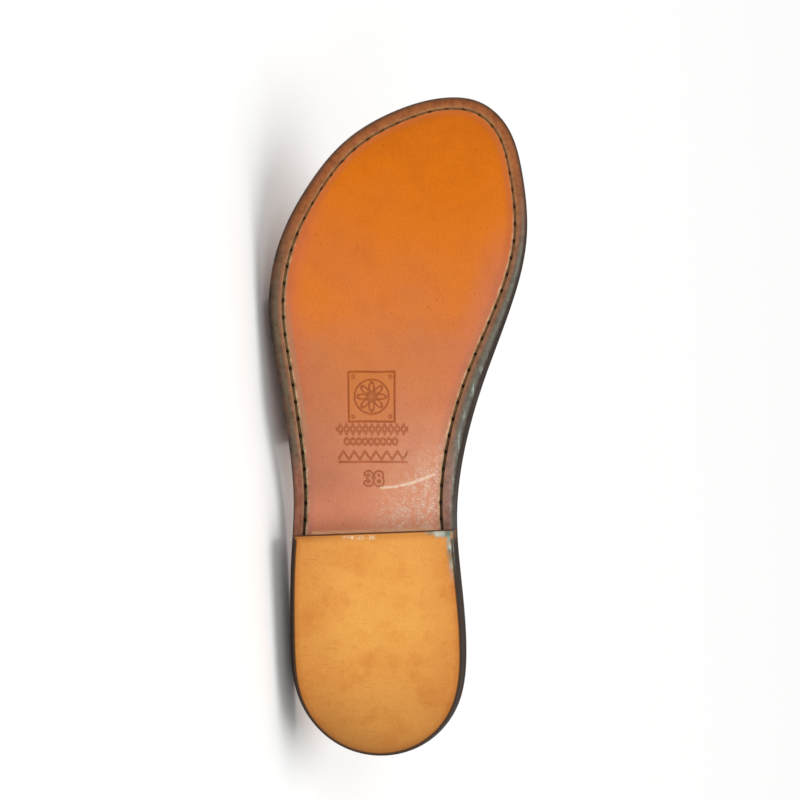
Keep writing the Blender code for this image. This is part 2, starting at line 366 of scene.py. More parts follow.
class Tone:
    # a value or a colour inside a material, so that sums and mixes read as such

    def __init__(self, tree, socket):
        self.tree = tree
        self.socket = socket

    def maths(self, operation, other=0.0, clamp=False, before=None):
        sockets = {0: self, 1: other} if before is None else {0: before, 1: self}
        node = addNode(self.tree, "ShaderNodeMath", sockets, operation=operation, use_clamp=clamp)
        return Tone(self.tree, node.outputs[0])

    def __add__(self, other):
        return self.maths("ADD", other)

    def __sub__(self, other):
        return self.maths("SUBTRACT", other)

    def __mul__(self, other):
        return self.maths("MULTIPLY", other)

    def __truediv__(self, other):
        return self.maths("DIVIDE", other)

    def fromOne(self, clamp=False):
        return self.maths("SUBTRACT", before=1.0, clamp=clamp)

    def step(self, low, high, toLow=0.0, toHigh=1.0):
        # toLow at low, toHigh at high and a soft run between them
        sockets = {"Value": self, "From Min": low, "From Max": high, "To Min": toLow, "To Max": toHigh}
        node = addNode(self.tree, "ShaderNodeMapRange", sockets, interpolation_type="SMOOTHSTEP")
        return Tone(self.tree, node.outputs["Result"])

    def between(self, low, lowFull, highFull, high):
        return self.step(low, lowFull) * self.step(high, highFull)

    def mix(self, share, other, way):
        settings = {"data_type": "RGBA", "blend_type": way, "clamp_factor": True}
        node = addNode(self.tree, "ShaderNodeMix", {0: share, 6: self, 7: other}, **settings)
        return Tone(self.tree, node.outputs[2])

    def blend(self, share, colour):
        # towards another colour as far as the share says
        return self.mix(share, colour if isinstance(colour, Tone) else paint(*colour), "MIX")

    def tint(self, share, *factors):
        # multiplied by the factors for red, green and blue as far as the share says
        return self.mix(share, (*factors, 1.0), "MULTIPLY")

    def ramp(self, stops):
        # colours by value, from rows of value, red, green and blue
        node = addNode(self.tree, "ShaderNodeValToRGB", {"Fac": self})
        elements = node.color_ramp.elements
        for k, (place, *colour) in enumerate(stops):
            element = elements[k] if k < 2 else elements.new(place)
            element.position = place
            element.color = paint(*colour)
        return Tone(self.tree, node.outputs["Color"])


class Finish:
    # a material in the making: its shader and where each point of the piece stood

    def __init__(self, name, roughness, coat=0.0, coatRoughness=0.3, specular=0.5):
        self.material = bpy.data.materials.new(name)
        self.material.use_nodes = True
        self.tree = self.material.node_tree
        self.shader = self.tree.nodes["Principled BSDF"]
        self.shader.inputs["Roughness"].default_value = roughness
        self.shader.inputs["Coat Weight"].default_value = coat
        self.shader.inputs["Coat Roughness"].default_value = coatRoughness
        self.shader.inputs["Specular IOR Level"].default_value = specular
        self.where = self.value("standing", "Vector")

    def value(self, name, output="Fac"):
        node = addNode(self.tree, "ShaderNodeAttribute", {}, attribute_name=name)
        return Tone(self.tree, node.outputs[output])

    def places(self):
        # how far along the sole and across it, in metres
        node = addNode(self.tree, "ShaderNodeSeparateXYZ", {0: self.where})
        return Tone(self.tree, node.outputs[0]), Tone(self.tree, node.outputs[1])

    def noise(self, scale, detail=2.0, rough=0.5):
        # a scale of three numbers stretches the noise
        where = self.where
        if isinstance(scale, tuple):
            node = addNode(self.tree, "ShaderNodeVectorMath", {0: where, 1: scale}, operation="MULTIPLY")
            where, scale = Tone(self.tree, node.outputs[0]), 1.0
        sockets = {"Vector": where, "Scale": scale, "Detail": detail, "Roughness": rough}
        return Tone(self.tree, addNode(self.tree, "ShaderNodeTexNoise", sockets).outputs["Fac"])

    def cells(self, scale, feature="F1"):
        sockets = {"Vector": self.where, "Scale": scale}
        node = addNode(self.tree, "ShaderNodeTexVoronoi", sockets, feature=feature)
        return Tone(self.tree, node.outputs["Distance"])

    def wear(self, socket, tone):
        self.tree.links.new(tone.socket, self.shader.inputs[socket])

    def bump(self, *layers):
        # layers are (height, depth in metres, strength), coarse first
        normal = {}
        for height, depth, strength in layers:
            sockets = {"Height": height, "Distance": depth, "Strength": strength, **normal}
            node = addNode(self.tree, "ShaderNodeBump", sockets)
            normal = {"Normal": Tone(self.tree, node.outputs["Normal"])}
        self.wear("Normal", normal["Normal"])


def dress(piece, finish, slotName, *nodes):
    # finish and place: the mesh is laid down and remembers where it stood; the slot name is not used
    mesh = piece.data
    spots = np.empty(len(mesh.vertices) * 3, np.float32)
    mesh.vertices.foreach_get("co", spots)
    mesh.attributes.new("standing", "FLOAT_VECTOR", "POINT").data.foreach_set("vector", spots)
    mesh.transform(piece.matrix_world)
    piece.matrix_world = Matrix.Identity(4)
    mesh.materials.clear()
    mesh.materials.append(finish.material)
    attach(piece, "root")
    if nodes:
        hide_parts(*nodes)
    print("made", piece.name, len(mesh.polygons), "faces")


# Stamped marks of the sole, as signed distances in millimetres across and along from each
# mark's own middle

def pressed(distance, edge=0.2):
    # 1 inside a shape, 0 outside, with a soft edge
    return 1 - smooth(distance, -edge, edge)


def arcDistance(u, v, radius, start, end):
    # distance to an arc round the origin, its angles in degrees counter-clockwise from +u
    middle = math.radians((start + end) / 2)
    reach = math.radians((end - start) / 2)
    turn = np.angle(np.exp(1j * (np.arctan2(v, u) - middle)))
    onArc = np.abs(np.hypot(u, v) - radius)
    ends = [
        np.hypot(u - radius * math.cos(math.radians(a)), v - radius * math.sin(math.radians(a)))
        for a in (start, end)
    ]
    return np.where(np.abs(turn) <= reach, onArc, np.minimum(*ends))


def threeMark(u, v, stroke):
    upper = arcDistance(u, v - 1.20, 1.05, -90, 150)
    lower = arcDistance(u, v + 1.10, 1.20, -150, 90)
    return np.minimum(upper, lower) - stroke


def eightMark(u, v, stroke):
    upper = np.abs(np.hypot(u, v - 1.22) - 1.00)
    lower = np.abs(np.hypot(u, v + 1.10) - 1.25)
    return np.minimum(upper, lower) - stroke


def rosetteMark(u, v, reach):
    # a ring, eight petals and a bead
    radius = np.hypot(u, v)
    best = np.minimum(np.abs(radius - reach * 0.92) - 0.22, radius - reach * 0.13)
    for k in range(8):
        turn = k * math.pi / 4
        p = u * math.cos(turn) + v * math.sin(turn) - reach * 0.50
        q = -u * math.sin(turn) + v * math.cos(turn)
        petal = (np.hypot(p / (reach * 0.27), q / (reach * 0.13)) - 1) * reach * 0.13
        best = np.minimum(best, np.abs(petal) - 0.16)
    return best


def lozengeMark(u, v):
    return np.abs((np.abs(u) + np.abs(v) / 1.7 - 1) * 0.8) - 0.3


def ovalMark(u, v):
    return np.abs(np.hypot(u, v / 1.3) - 0.9) - 0.27


stampMarks = {
    # middles are millimetres towards the inner side and up from the heel's back
    "emblemAt": (-3.1, 140.0),
    "emblemHalf": (9.2, 9.9),
    "rosetteReach": 7.2,
    "frameIn": 0.3,
    "frameLine": 0.24,
    "beadIn": (2.0, 2.2),
    "bead": 0.75,
    "rows": (((-3.1, 127.4), 27.0, 11, lozengeMark), ((-3.5, 122.6), 21.0, 9, ovalMark)),
    "waveAt": (-2.7, 117.2),
    "waveHalf": 13.4,
    "waveHeight": 1.3,
    "wavePitch": 4.2,
    "ruleBelow": 2.5,
    "digitsAt": (-2.6, 108.2),
    "digitGap": 4.0,
    "digitBody": 0.72,
    "digitLine": 0.23,
    "depth": 0.46,
    "fieldDepth": 0.16,
    "farAway": 9.0,
}


def stampPress(x, y):
    # how deep each point is pressed in, and the shares of line, line's edge and sunk field
    look = stampMarks
    far = look["farAway"]

    def fromMiddle(middle):
        return y / mm - middle[0], x / mm - middle[1]

    u, v = fromMiddle(look["emblemAt"])
    box = np.maximum(np.abs(u) - look["emblemHalf"][0], np.abs(v) - look["emblemHalf"][1])
    marks = [rosetteMark(u, v, look["rosetteReach"]), np.abs(box + look["frameIn"]) - look["frameLine"]]
    beadU, beadV = (half - away for half, away in zip(look["emblemHalf"], look["beadIn"]))
    marks.append(np.hypot(np.abs(u) - beadU, np.abs(v) - beadV) - look["bead"])
    for middle, span, count, shape in look["rows"]:
        u, v = fromMiddle(middle)
        step = span / count
        near = u - np.round(np.clip(u, -span / 2, span / 2) / step) * step
        marks.append(np.where(np.abs(u) < span / 2 + 0.5, shape(near, v), far))
    u, v = fromMiddle(look["waveAt"])
    wave = v - look["waveHeight"] * np.sin(u * 2 * math.pi / look["wavePitch"])
    inRow = np.abs(u) < look["waveHalf"]
    marks.append(np.where(inRow, np.abs(wave) * 0.52 - 0.26, far))
    marks.append(np.where(inRow, np.abs(v + look["ruleBelow"]) - 0.22, far))
    u, v = fromMiddle(look["digitsAt"])
    for shape, place in ((threeMark, -look["digitGap"] / 2), (eightMark, look["digitGap"] / 2)):
        marks.append(np.abs(shape(u - place, v, look["digitBody"])) - look["digitLine"])
    lines = pressed(np.min(marks, axis=0))
    field = pressed(box, 0.3)
    depth = lines * look["depth"] + field * look["fieldDepth"]
    return depth * mm, lines, 4 * lines * (1 - lines), field


# The seam that runs round the sole, in from its edge

def seamInset(ring):
    return ring[:, 2] + sandal["stitchLedge"]


def seamPlaces():
    # the seam's own line as points, how far along it each lies, and the number of holes
    line = inset(fineRing, seamInset(fineRing))
    loop = np.vstack([line, line[:1]])
    travelled = travelAlong(loop)
    holes = int(round(travelled[-1] / sandal["stitchPitch"]))
    return loop, travelled, holes


seamLoop, seamTravel, seamHoles = seamPlaces()
seamPitch = seamTravel[-1] / seamHoles
nearestSeam = nearestOf(seamLoop[:-1])


def seamPoint(distance):
    return np.array([np.interp(distance % seamTravel[-1], seamTravel, seamLoop[:, k]) for k in (0, 1)])


def fromSeam(x, y):
    return nearestSeam(x, y)[1]


def fromHole(x, y):
    # along the seam to the nearest hole
    along = seamTravel[nearestSeam(x, y)[0]]
    return np.abs((along / seamPitch + 0.5) % 1 - 0.5) * seamPitch


# The heel's straight front, as a share of the length and a slant

breast = {"at": 0.341, "slant": 0.0384, "stitchesFrom": 0.0035}


def breastX(y):
    return breast["at"] * sandal["length"] + y * breast["slant"]


# Outsole

outsoleLook = {
    "ringPoints": 1000,
    "stampSpan": (0.100, 0.154),
    "stampFade": 0.006,
    "stampFiner": 1.15,
    "channelHalf": 0.62 * mm,
    # how much wider the channel is at the waist and narrower at the toe, and from where to where
    "widerAtWaist": (0.3, 0.44, 0.60),
    "narrowerAtToe": (0.25, 0.72, 0.92),
    "channelDepth": 0.75 * mm,
    "lip": 0.06 * mm,
    # rings over the channel: in from the seam in half widths, depth as a share of the
    # channel's or, below nought, height as a share of the lip's, and zone
    "fieldFrom": 3.2,
    "channelRings": (
        (2.2, -0.5, 3.7), (1.45, -1.0, 3.3), (1.05, 0.2 / 15, 3.05), (0.8, 2 / 15, 2.95),
        (0.5, 8 / 15, 2.75), (0.25, 14 / 15, 2.62), (0.0, 1.0, 2.5), (-0.25, 14 / 15, 2.38),
        (-0.5, 8 / 15, 2.25), (-0.8, 2 / 15, 2.05), (-1.05, 0.2 / 15, 1.95), (-1.45, -1.0, 1.8),
    ),
    "holeDepth": 0.50 * mm,
    "holeReach": 0.62 * mm,
    "holeShade": 1.15 * mm,
    "holeWidens": 0.18,
    "ledgeShares": (0.75, 0.45, 0.2),
    "bevelSteps": 9,
    "wallRings": ((0.35, -0.02 * mm), (0.7, 0.0), (0.92, 0.1 * mm), (1.0, 0.3 * mm)),
    "denseSpan": (0.235, 0.785),    # shares across, with closer columns for the stamping
    "denseColumns": 96,
    "sideColumns": 11,
    "waves": ((0.055, 0.10 * mm, 1), (0.017, 0.03 * mm, 2)),
    "wornWaves": ((0.0021, 0.035 * mm, 5), (0.0034, 0.03 * mm, 7)),
    # the worn patch beside the inner seam, its lower part, and the curved scuff over it
    "wornAt": (0.1010, 0.0195),
    "wornReach": (0.0165, 0.0115),
    "lowAt": (0.0920, 0.010),
    "lowReach": (0.009, 0.013),
    "rubIn": 1.6 * mm,
    "rubReach": 1.0 * mm,
    "rubEnds": (0.112, 0.130),
    "wornShares": (0.9, 0.75, 0.9),
    "scuff": ((0.1046, 0.0004), (0.1050, 0.006), (0.1064, 0.012), (0.1084, 0.0175), (0.1110, 0.0238)),
    "scuffHalf": 0.42 * mm,
    "scuffHeight": 0.08 * mm,
    "breastLip": (0.45, 0.5),       # middle and half width in millimetres ahead of the heel
    # colours by share of the length
    "fieldColours": (
        (0.34, 202, 124, 92), (0.44, 202, 123, 86), (0.53, 212, 128, 84), (0.61, 214, 127, 74),
        (0.70, 225, 125, 50), (0.80, 226, 121, 28), (0.91, 222, 116, 4), (1.00, 206, 104, 4),
    ),
    # colours by a quarter of the zone, from the wall over bevel, ledge and channel to the field
    "outerColours": (
        (0.00, 36, 30, 25), (0.09, 50, 42, 34), (0.14, 80, 65, 52), (0.18, 104, 85, 68),
        (0.22, 110, 97, 78), (0.27, 122, 96, 74), (0.32, 156, 106, 80), (0.40, 162, 112, 84),
        (0.45, 164, 134, 98), (0.49, 156, 132, 95), (0.54, 122, 98, 66), (0.60, 124, 96, 64),
        (0.66, 124, 96, 64), (0.71, 138, 114, 80), (0.76, 170, 144, 108), (0.83, 172, 138, 106),
        (0.90, 192, 125, 90), (1.00, 196, 116, 78),
    ),
    # the inner side's grey stops over the bevel are a painted sheen on the polished bevel
    "innerColours": (
        (0.00, 42, 30, 23), (0.13, 54, 39, 29), (0.155, 90, 84, 75), (0.19, 118, 118, 109),
        (0.23, 114, 106, 92), (0.27, 130, 100, 78), (0.35, 152, 103, 79), (0.43, 156, 109, 77),
        (0.49, 158, 122, 82), (0.54, 118, 90, 58), (0.60, 124, 92, 60), (0.66, 124, 92, 60),
        (0.71, 142, 110, 74), (0.76, 188, 147, 108), (0.84, 204, 148, 112), (0.92, 204, 128, 90),
        (1.00, 206, 121, 76),
    ),
    "toeColours": (
        (0.00, 52, 36, 25), (0.10, 78, 50, 32), (0.14, 124, 76, 44), (0.21, 158, 92, 50),
        (0.29, 166, 98, 54), (0.38, 174, 117, 72), (0.47, 180, 132, 88), (0.53, 162, 112, 68),
        (0.58, 150, 100, 58), (0.66, 150, 100, 58), (0.71, 160, 108, 64), (0.77, 196, 122, 70),
        (0.85, 202, 112, 52), (1.00, 210, 108, 20),
    ),
    "wallColours": ((0.3, 44, 32, 24), (0.7, 76, 56, 42)),
}


def scuffShare(x, y, perSpan=12):
    # 1 on a soft line through the scuff's spots
    spots = np.array(outsoleLook["scuff"])
    fine = np.linspace(0, len(spots) - 1, (len(spots) - 1) * perSpan + 1)
    line = np.column_stack([np.interp(fine, np.arange(len(spots)), spots[:, k]) for k in (0, 1)])
    kernel = np.ones(5) / 5
    for k in (0, 1):
        line[2:-2, k] = np.convolve(line[:, k], kernel, "valid")
    best = np.full(len(x), 9.0)
    for (ax, ay), (bx, by) in zip(line, line[1:]):
        length = (bx - ax) ** 2 + (by - ay) ** 2
        t = np.clip(((x - ax) * (bx - ax) + (y - ay) * (by - ay)) / length, 0, 1)
        best = np.minimum(best, np.hypot(x - ax - t * (bx - ax), y - ay - t * (by - ay)))
    return hump(best, outsoleLook["scuffHalf"])


def wornAmount(x, y):
    # the rubbed patch: strongest by the inner seam, fading towards the middle and the toe
    look = outsoleLook
    patch, low = (
        hump((x - at[0]) / reach[0], 1) * hump((y - at[1]) / reach[1], 1)
        for at, reach in ((look["wornAt"], look["wornReach"]), (look["lowAt"], look["lowReach"]))
    )
    bySeam = hump(fromSeam(x, y) - look["rubIn"], look["rubReach"]) * (y > 0)
    bySeam = bySeam * (1 - smooth(x, *look["rubEnds"]))
    return np.clip(sum(s * part for s, part in zip(look["wornShares"], (patch, low, bySeam))), 0, 1)


def makeOutsole():
    look = outsoleLook

    def finer(curve):
        # rows lie closer where the sole is stamped
        (low, high), fade = look["stampSpan"], look["stampFade"]
        return 1 + look["stampFiner"] * window(curve[:, 0], low - fade, low, high, high + fade)

    ring = soleRing(look["ringPoints"], finer)
    bevel = ring[:, 2]
    seam = seamInset(ring)
    holeAway = fromHole(*inset(ring, seam).T)
    hole = hump(holeAway, look["holeReach"])
    station = ring[:, 0] / sandal["length"]
    wider, *waist = look["widerAtWaist"]
    narrower, *toe = look["narrowerAtToe"]
    half = 1 + wider * (1 - smooth(station, *waist)) - narrower * smooth(station, *toe)
    half = half * look["channelHalf"]
    # inset, height above the tread and zone, which is 0 at the edge, 1 at the ledge, 2 to 3
    # over the channel and 4 on the field
    levels = [(seam + half * look["fieldFrom"], 0.0, 4.0)]
    for inwards, dip, zone in look["channelRings"]:
        deep = max(dip, 0)
        height = deep * look["channelDepth"] + min(dip, 0) * look["lip"]
        sink = hole * look["holeDepth"] * (0.35 + 0.65 * deep) if abs(inwards) < 1.3 else 0.0
        widened = hole * half * look["holeWidens"] * np.sign(inwards)
        levels.append((seam + half * inwards + widened, height + sink, zone))
    for share in look["ledgeShares"]:
        levels.append((bevel + (seam - bevel) * share, 0.0, 1 + share * 0.8))
    for turned, inward, upward in rounding(look["bevelSteps"]):
        levels.append((bevel * inward, sandal["bevelHeight"] * upward, 1 - turned))
    wall = sandal["outsoleThickness"] - sandal["bevelHeight"]
    for share, width in look["wallRings"]:
        levels.append((width, sandal["bevelHeight"] + wall * share, -share))
    rings = []
    for width, height, _ in levels:
        xy = inset(ring, width)
        rings.append((xy, treadHeight(xy[:, 0]) + height))

    def field(x, y):
        height = treadHeight(x) + stampPress(x, y)[0]
        height += smooth(fromSeam(x, y), 0.0, 0.012) * wavy(x, y, look["waves"])
        height += smooth(wornAmount(x, y), 0.2, 1.0) * wavy(x, y, look["wornWaves"])
        return height + scuffShare(x, y) * look["scuffHeight"]

    start, end = look["denseSpan"]
    shares = np.concatenate([
        np.linspace(0, start, look["sideColumns"]),
        np.linspace(start, end, look["denseColumns"])[1:],
        np.linspace(end, 1, look["sideColumns"])[1:],
    ])
    topCap = (np.linspace(0, 1, 5), lambda x, y: outsoleTop(x))
    points, faces, ringOf = plate(rings, (shares, field), topCap)
    x, y = points[:, 0], points[:, 1]
    zones = np.array([zone for _, _, zone in levels])
    under = ringOf == -1
    zone = np.where(ringOf >= 0, zones[np.clip(ringOf, 0, None)], np.where(under, 4.0, -1.0))
    _, lines, edges, sunk = stampPress(x, y)
    lipAt, lipHalf = look["breastLip"]
    holes = np.zeros(len(points))
    for k in np.flatnonzero((zones >= 2.2) & (zones <= 2.8)):
        holes[ringOf == k] = hump(holeAway, look["holeShade"])
    values = {
        "zone": zone,
        "rim": under * fromSeam(x, y) / mm,
        "stamped": under * lines,
        "stampEdgeShade": under * edges,
        "sunk": under * sunk,
        "breastLip": under * hump((x - breastX(y)) / mm - lipAt, lipHalf),
        "worn": (zone > 1.0) * wornAmount(x, y),
        "scuff": under * scuffShare(x, y),
        "hole": holes,
    }
    return makePiece("outsoleLeather", points, faces, values, sharp=40)


def outsoleField(sole, station, side, rim, broad, patches):
    # the sewn-in field, orange at the toe and pinker towards the waist, not quite evenly
    field = (station + broad.step(0.25, 0.75, -0.05, 0.05)).ramp(outsoleLook["fieldColours"])
    # pinker along the inner seam behind the ball; painted shade darkens the outer side at the waist
    pink = station.between(0.47, 0.58, 0.70, 0.84) * rim.step(15.0, 2.0, 0.0, 0.75)
    field = field.blend(pink * side.step(0.05, 0.25), (214, 124, 84))
    reddened = station.between(0.50, 0.60, 0.76, 0.88) * rim.step(9.0, 2.0, 0.0, 0.55)
    field = field.blend(reddened * side.step(-0.05, -0.20), (214, 112, 72))
    # painted shade: darker towards the outer side at the waist
    field = field.tint(side.step(0.02, -0.34, 0.0, 0.9) * station.step(0.66, 0.50), 0.83, 0.87, 0.96)
    # painted light: the middle of the waist is lighter
    paintedWaistLight = side.step(-0.28, 0.06) * station.step(0.60, 0.38, 0.0, 0.8)
    field = field.blend(paintedWaistLight, (228, 152, 110))
    field = field.blend(station.step(0.43, 0.36, 0.0, 0.6), (236, 150, 112))
    # clouds, pores and a few dark dots
    field = field.tint(patches.step(0.42, 0.75, 0.0, 0.8), 0.93, 0.89, 0.88)
    field = field.tint(broad.step(0.55, 0.30, 0.0, 0.8), 0.95, 0.91, 0.95)
    pores = sole.noise(1000, 4, 0.6).step(0.36, 0.62)
    field = field.tint(pores.fromOne(), 0.94, 0.92, 0.91)
    field = field.tint(sole.cells(190).step(0.10, 0.05), 0.82, 0.76, 0.74)
    # a dull strip along the inside of the seam, dusty at the outer ball and brown at the toe
    rimShade = rim.step(5.0, 1.2) * patches.step(0.3, 0.7, 0.45, 1.0)
    field = field.tint(rimShade, 0.88, 0.90, 1.12)
    dusty = station.between(0.44, 0.52, 0.62, 0.74) * rim.step(4.2, 1.2, 0.0, 0.6)
    field = field.blend(dusty * side.step(0.0, -0.1, 0.25, 1.0), (176, 132, 98))
    field = field.blend(rim.step(4.0, 0.6, 0.0, 0.6) * station.step(0.68, 0.84), (204, 106, 54))
    # the stamped marks, with painted shade along the edges of their lines
    field = field.blend(sole.value("sunk") * 0.5, (206, 120, 54))
    field = field.blend(sole.value("stamped") * 0.5, (196, 104, 44))
    return field.tint(sole.value("stampEdgeShade") * 0.9, 0.56, 0.46, 0.40)


def outsoleWearAndSheen(sole, field, worn, patches):
    # the worn patch, paler from wear and from painted sheen, with painted highlight specks; the scuff and
    # the pale lip by the heel's breast
    field = field.blend(worn * 0.75, (222, 172, 146))
    field = field.blend(sole.cells(1500).step(0.46, 0.28) * worn * 0.65, (248, 232, 214))
    broken = sole.noise(900, 3, 0.7).step(0.36, 0.56, 0.2, 1.0)
    field = field.blend(sole.value("scuff") * broken, (250, 230, 204))
    return field.blend(sole.value("breastLip") * patches.step(0.25, 0.6, 0.55, 1.0), (244, 192, 140))


def outsoleMargin(sole, station, side, zone, patches, chips):
    # bevel, ledge and channel, a ramp each for the outer side, the inner side and the toe
    share = zone.maths("DIVIDE", 4.0, clamp=True)
    outer, inner, toe = (share.ramp(outsoleLook[key + "Colours"]) for key in ("outer", "inner", "toe"))
    margin = outer.blend(side.step(-0.02, 0.08), inner)
    margin = margin.blend((station + side.step(0.1, -0.4, 0.0, 0.05)).step(0.74, 0.90), toe)
    # redder ledge at the waist, on the outer side and on the inner one
    reddish = side.step(-0.02, -0.10) * station.step(0.47, 0.41) * zone.between(0.3, 0.6, 1.5, 1.85)
    margin = margin.blend(reddish, (162, 102, 78))
    rosy = side.step(0.02, 0.10) * station.step(0.50, 0.41) * zone.between(0.66, 0.82, 1.6, 1.9)
    margin = margin.blend(rosy * 0.8, (160, 118, 102))
    # painted highlight: streaks of light on the polished bevel at the waist
    glintNoise = sole.noise((150.0, 700.0, 300.0), 3, 0.6).step(0.50, 0.66)
    paintedBevelGlint = zone.between(0.58, 0.66, 0.76, 0.88) * station.between(0.36, 0.42, 0.54, 0.66) * glintNoise
    margin = margin.blend(paintedBevelGlint * side.step(0.1, 0.2, 0.0, 0.8), (180, 196, 188))
    # chips, stains and worn spots
    margin = margin.tint(chips.step(0.46, 0.66), 0.78, 0.74, 0.72)
    margin = margin.tint(sole.noise(850, 5, 0.7).step(0.46, 0.62), 0.84, 0.80, 0.76)
    margin = margin.tint(chips.step(0.42, 0.30), 1.14, 1.10, 1.04)
    brownish = zone.step(0.9, 0.6) * patches.step(0.46, 0.60, 0.0, 0.6) * side.step(0.0, -0.08)
    margin = margin.blend(brownish, (104, 68, 48))
    # painted shade in the channel at the waist, and its frayed inner lip
    bed = zone.between(2.1, 2.35, 2.7, 2.95) * station.step(0.62, 0.48, 0.0, 0.8)
    margin = margin.blend(bed, (64, 45, 32))
    frayed = zone.between(2.85, 3.0, 3.3, 4.0) * chips.step(0.52, 0.36, 0.0, 0.5)
    return margin.blend(frayed * station.step(0.86, 0.70, 0.15, 1.0), (226, 192, 156))


def outsoleFinish():
    sole = Finish("cognacSoleLeather", 0.4, coatRoughness=0.25, specular=0.13)
    along, across = sole.places()
    station, side = along / sandal["length"], across / sandal["ballWidth"]
    rim, zone, worn = (sole.value(key) for key in ("rim", "zone", "worn"))
    broad = sole.noise(24, 3)
    patches = sole.noise(105, 4, 0.55)
    chips = sole.noise(300, 4, 0.6)
    blotched = worn * sole.noise(420, 4, 0.7).step(0.38, 0.60, 0.12, 1.0)
    field = outsoleField(sole, station, side, rim, broad, patches)
    field = outsoleWearAndSheen(sole, field, blotched, patches)
    margin = outsoleMargin(sole, station, side, zone, patches, chips)
    colour = field.blend(zone.step(4.0, 3.1), margin)
    wall = sole.noise((60.0, 60.0, 900.0), 3).ramp(outsoleLook["wallColours"])
    colour = colour.blend(zone.step(0.06, -0.05), wall)
    # painted shade in the stitch holes, weaker towards the toe
    holes = sole.value("hole") * station.step(0.92, 0.76, 0.30, 0.95)
    sole.wear("Base Color", colour.blend(holes, (34, 22, 13)))
    # gloss: polished waist and edge, dull channel
    channel = zone.between(2.0, 2.25, 2.8, 3.1)
    sole.wear("Roughness", patches.step(0.3, 0.7, 0.36, 0.48) - blotched * 0.12 + channel * 0.35)
    polish = station.step(0.66, 0.45, 0.0, 0.28) * channel.fromOne()
    sole.wear("Coat Weight", polish + worn * 0.3)
    grain = sole.noise(1300, 4, 0.6)
    sole.bump((patches, 0.30 * mm, 0.3), (chips, 0.10 * mm, 0.25), (grain, 0.05 * mm, 0.5))
    return sole


dress(makeOutsole(), outsoleFinish(), "sole_leather", "outsole")


# Thread

threadLook = {
    "soleRadius": 0.22 * mm,
    "bedRadius": 0.40 * mm,
    "bandRadius": 0.28 * mm,
    "sides": 8,
    "steps": 10,
    "twist": 0.9,               # radians of turn at each step
    "plyBulge": 0.14,
    "endGirths": (0.55, 0.9, 1.0),
    "toeFrom": (0.110, 0.150),  # where the toe's colour comes in, from the heel's back
    # each seam's stitches: heights above the leather at the hole and in the middle, the gap at a
    # hole as a share of the pitch, and how square they are
    "soleSeam": (0.95 * mm, 0.34 * mm, 0.07, 5),
    "bedSeam": (-0.75 * mm, -0.02 * mm, 0.07, 5),
    "bandSeam": (-0.25 * mm, 0.25 * mm, 0.1, 4),
}


def stitchPaths(seam, count, pitch, spotAt):
    # a path for each stitch from hole to hole. spotAt takes the distance along the seam and the
    # height above the leather
    low, high, gap, squareness = threadLook[seam]
    paths = []
    for k in range(count):
        path = []
        for step in range(threadLook["steps"] + 1):
            share = step / threadLook["steps"]
            height = low + (high - low) * (1 - abs(2 * share - 1) ** squareness)
            path.append(spotAt((k + gap + (1 - 2 * gap) * share) * pitch, height))
        paths.append(path)
    return paths


def stitchTube(path, radius):
    # a closed tube along a path of points, its girth a twisted two-ply thread's
    look = threadLook
    path = np.array(path)
    count, sides = len(path), look["sides"]
    ahead = np.gradient(path, axis=0)
    side = np.cross(ahead, (0.0, 0.0, 1.0))
    side /= np.linalg.norm(side, axis=1)[:, None]
    ahead /= np.linalg.norm(ahead, axis=1)[:, None]
    top = np.cross(side, ahead)
    turns = 2 * math.pi * np.arange(sides) / sides
    points = []
    for i in range(count):
        girth = radius * look["endGirths"][min(i, count - 1 - i, 2)]
        ply = girth * (1 + look["plyBulge"] * np.cos(2 * turns - look["twist"] * i))
        around = np.cos(turns)[:, None] * side[i] + np.sin(turns)[:, None] * top[i]
        points += (path[i] + ply[:, None] * around).tolist()
    faces = [[a, b, c, d] for a, d, c, b in ringFaces(count, sides)]
    ends = [list(range(sides))[::-1], list(range((count - 1) * sides, count * sides))]
    return points, faces + ends


def joinedTubes(name, paths, radius):
    points, faces = [], []
    for path in paths:
        tubePoints, tubeFaces = stitchTube(path, radius)
        start = len(points)
        points += tubePoints
        faces += [[start + c for c in face] for face in tubeFaces]
    return makePiece(name, points, faces, sharp=60)


def threadFinish(name, colour, shade, toeColour=None):
    thread = Finish(name, 0.65, specular=0.2)
    strands = thread.noise(2500, 3)
    dyed = strands.ramp(((0.3, *shade), (0.7, *colour)))
    if toeColour:
        along, _ = thread.places()
        dyed = dyed.blend(along.step(*threadLook["toeFrom"]), toeColour)
    thread.wear("Base Color", dyed)
    thread.bump((strands, 0.1 * mm, 0.6))
    return thread


def seamStitches(seam, surface):
    # the stitches round the sole, on its underside or on the footbed
    def spotAt(distance, height):
        x, y = seamPoint(distance)
        return x, y, surface(x) + height

    return stitchPaths(seam, seamHoles, seamPitch, spotAt)


def aheadOfHeel(path):
    x, y, _ = path[len(path) // 2]
    return x > breastX(y) + breast["stitchesFrom"]


soleThread = filter(aheadOfHeel, seamStitches("soleSeam", treadHeight))
soleStitches = joinedTubes("soleStitches", soleThread, threadLook["soleRadius"])
soleThreadFinish = threadFinish("darkSoleThread", (104, 72, 42), (64, 44, 26), (132, 90, 51))
dress(soleStitches, soleThreadFinish, "sole_leather")


# Heel lift

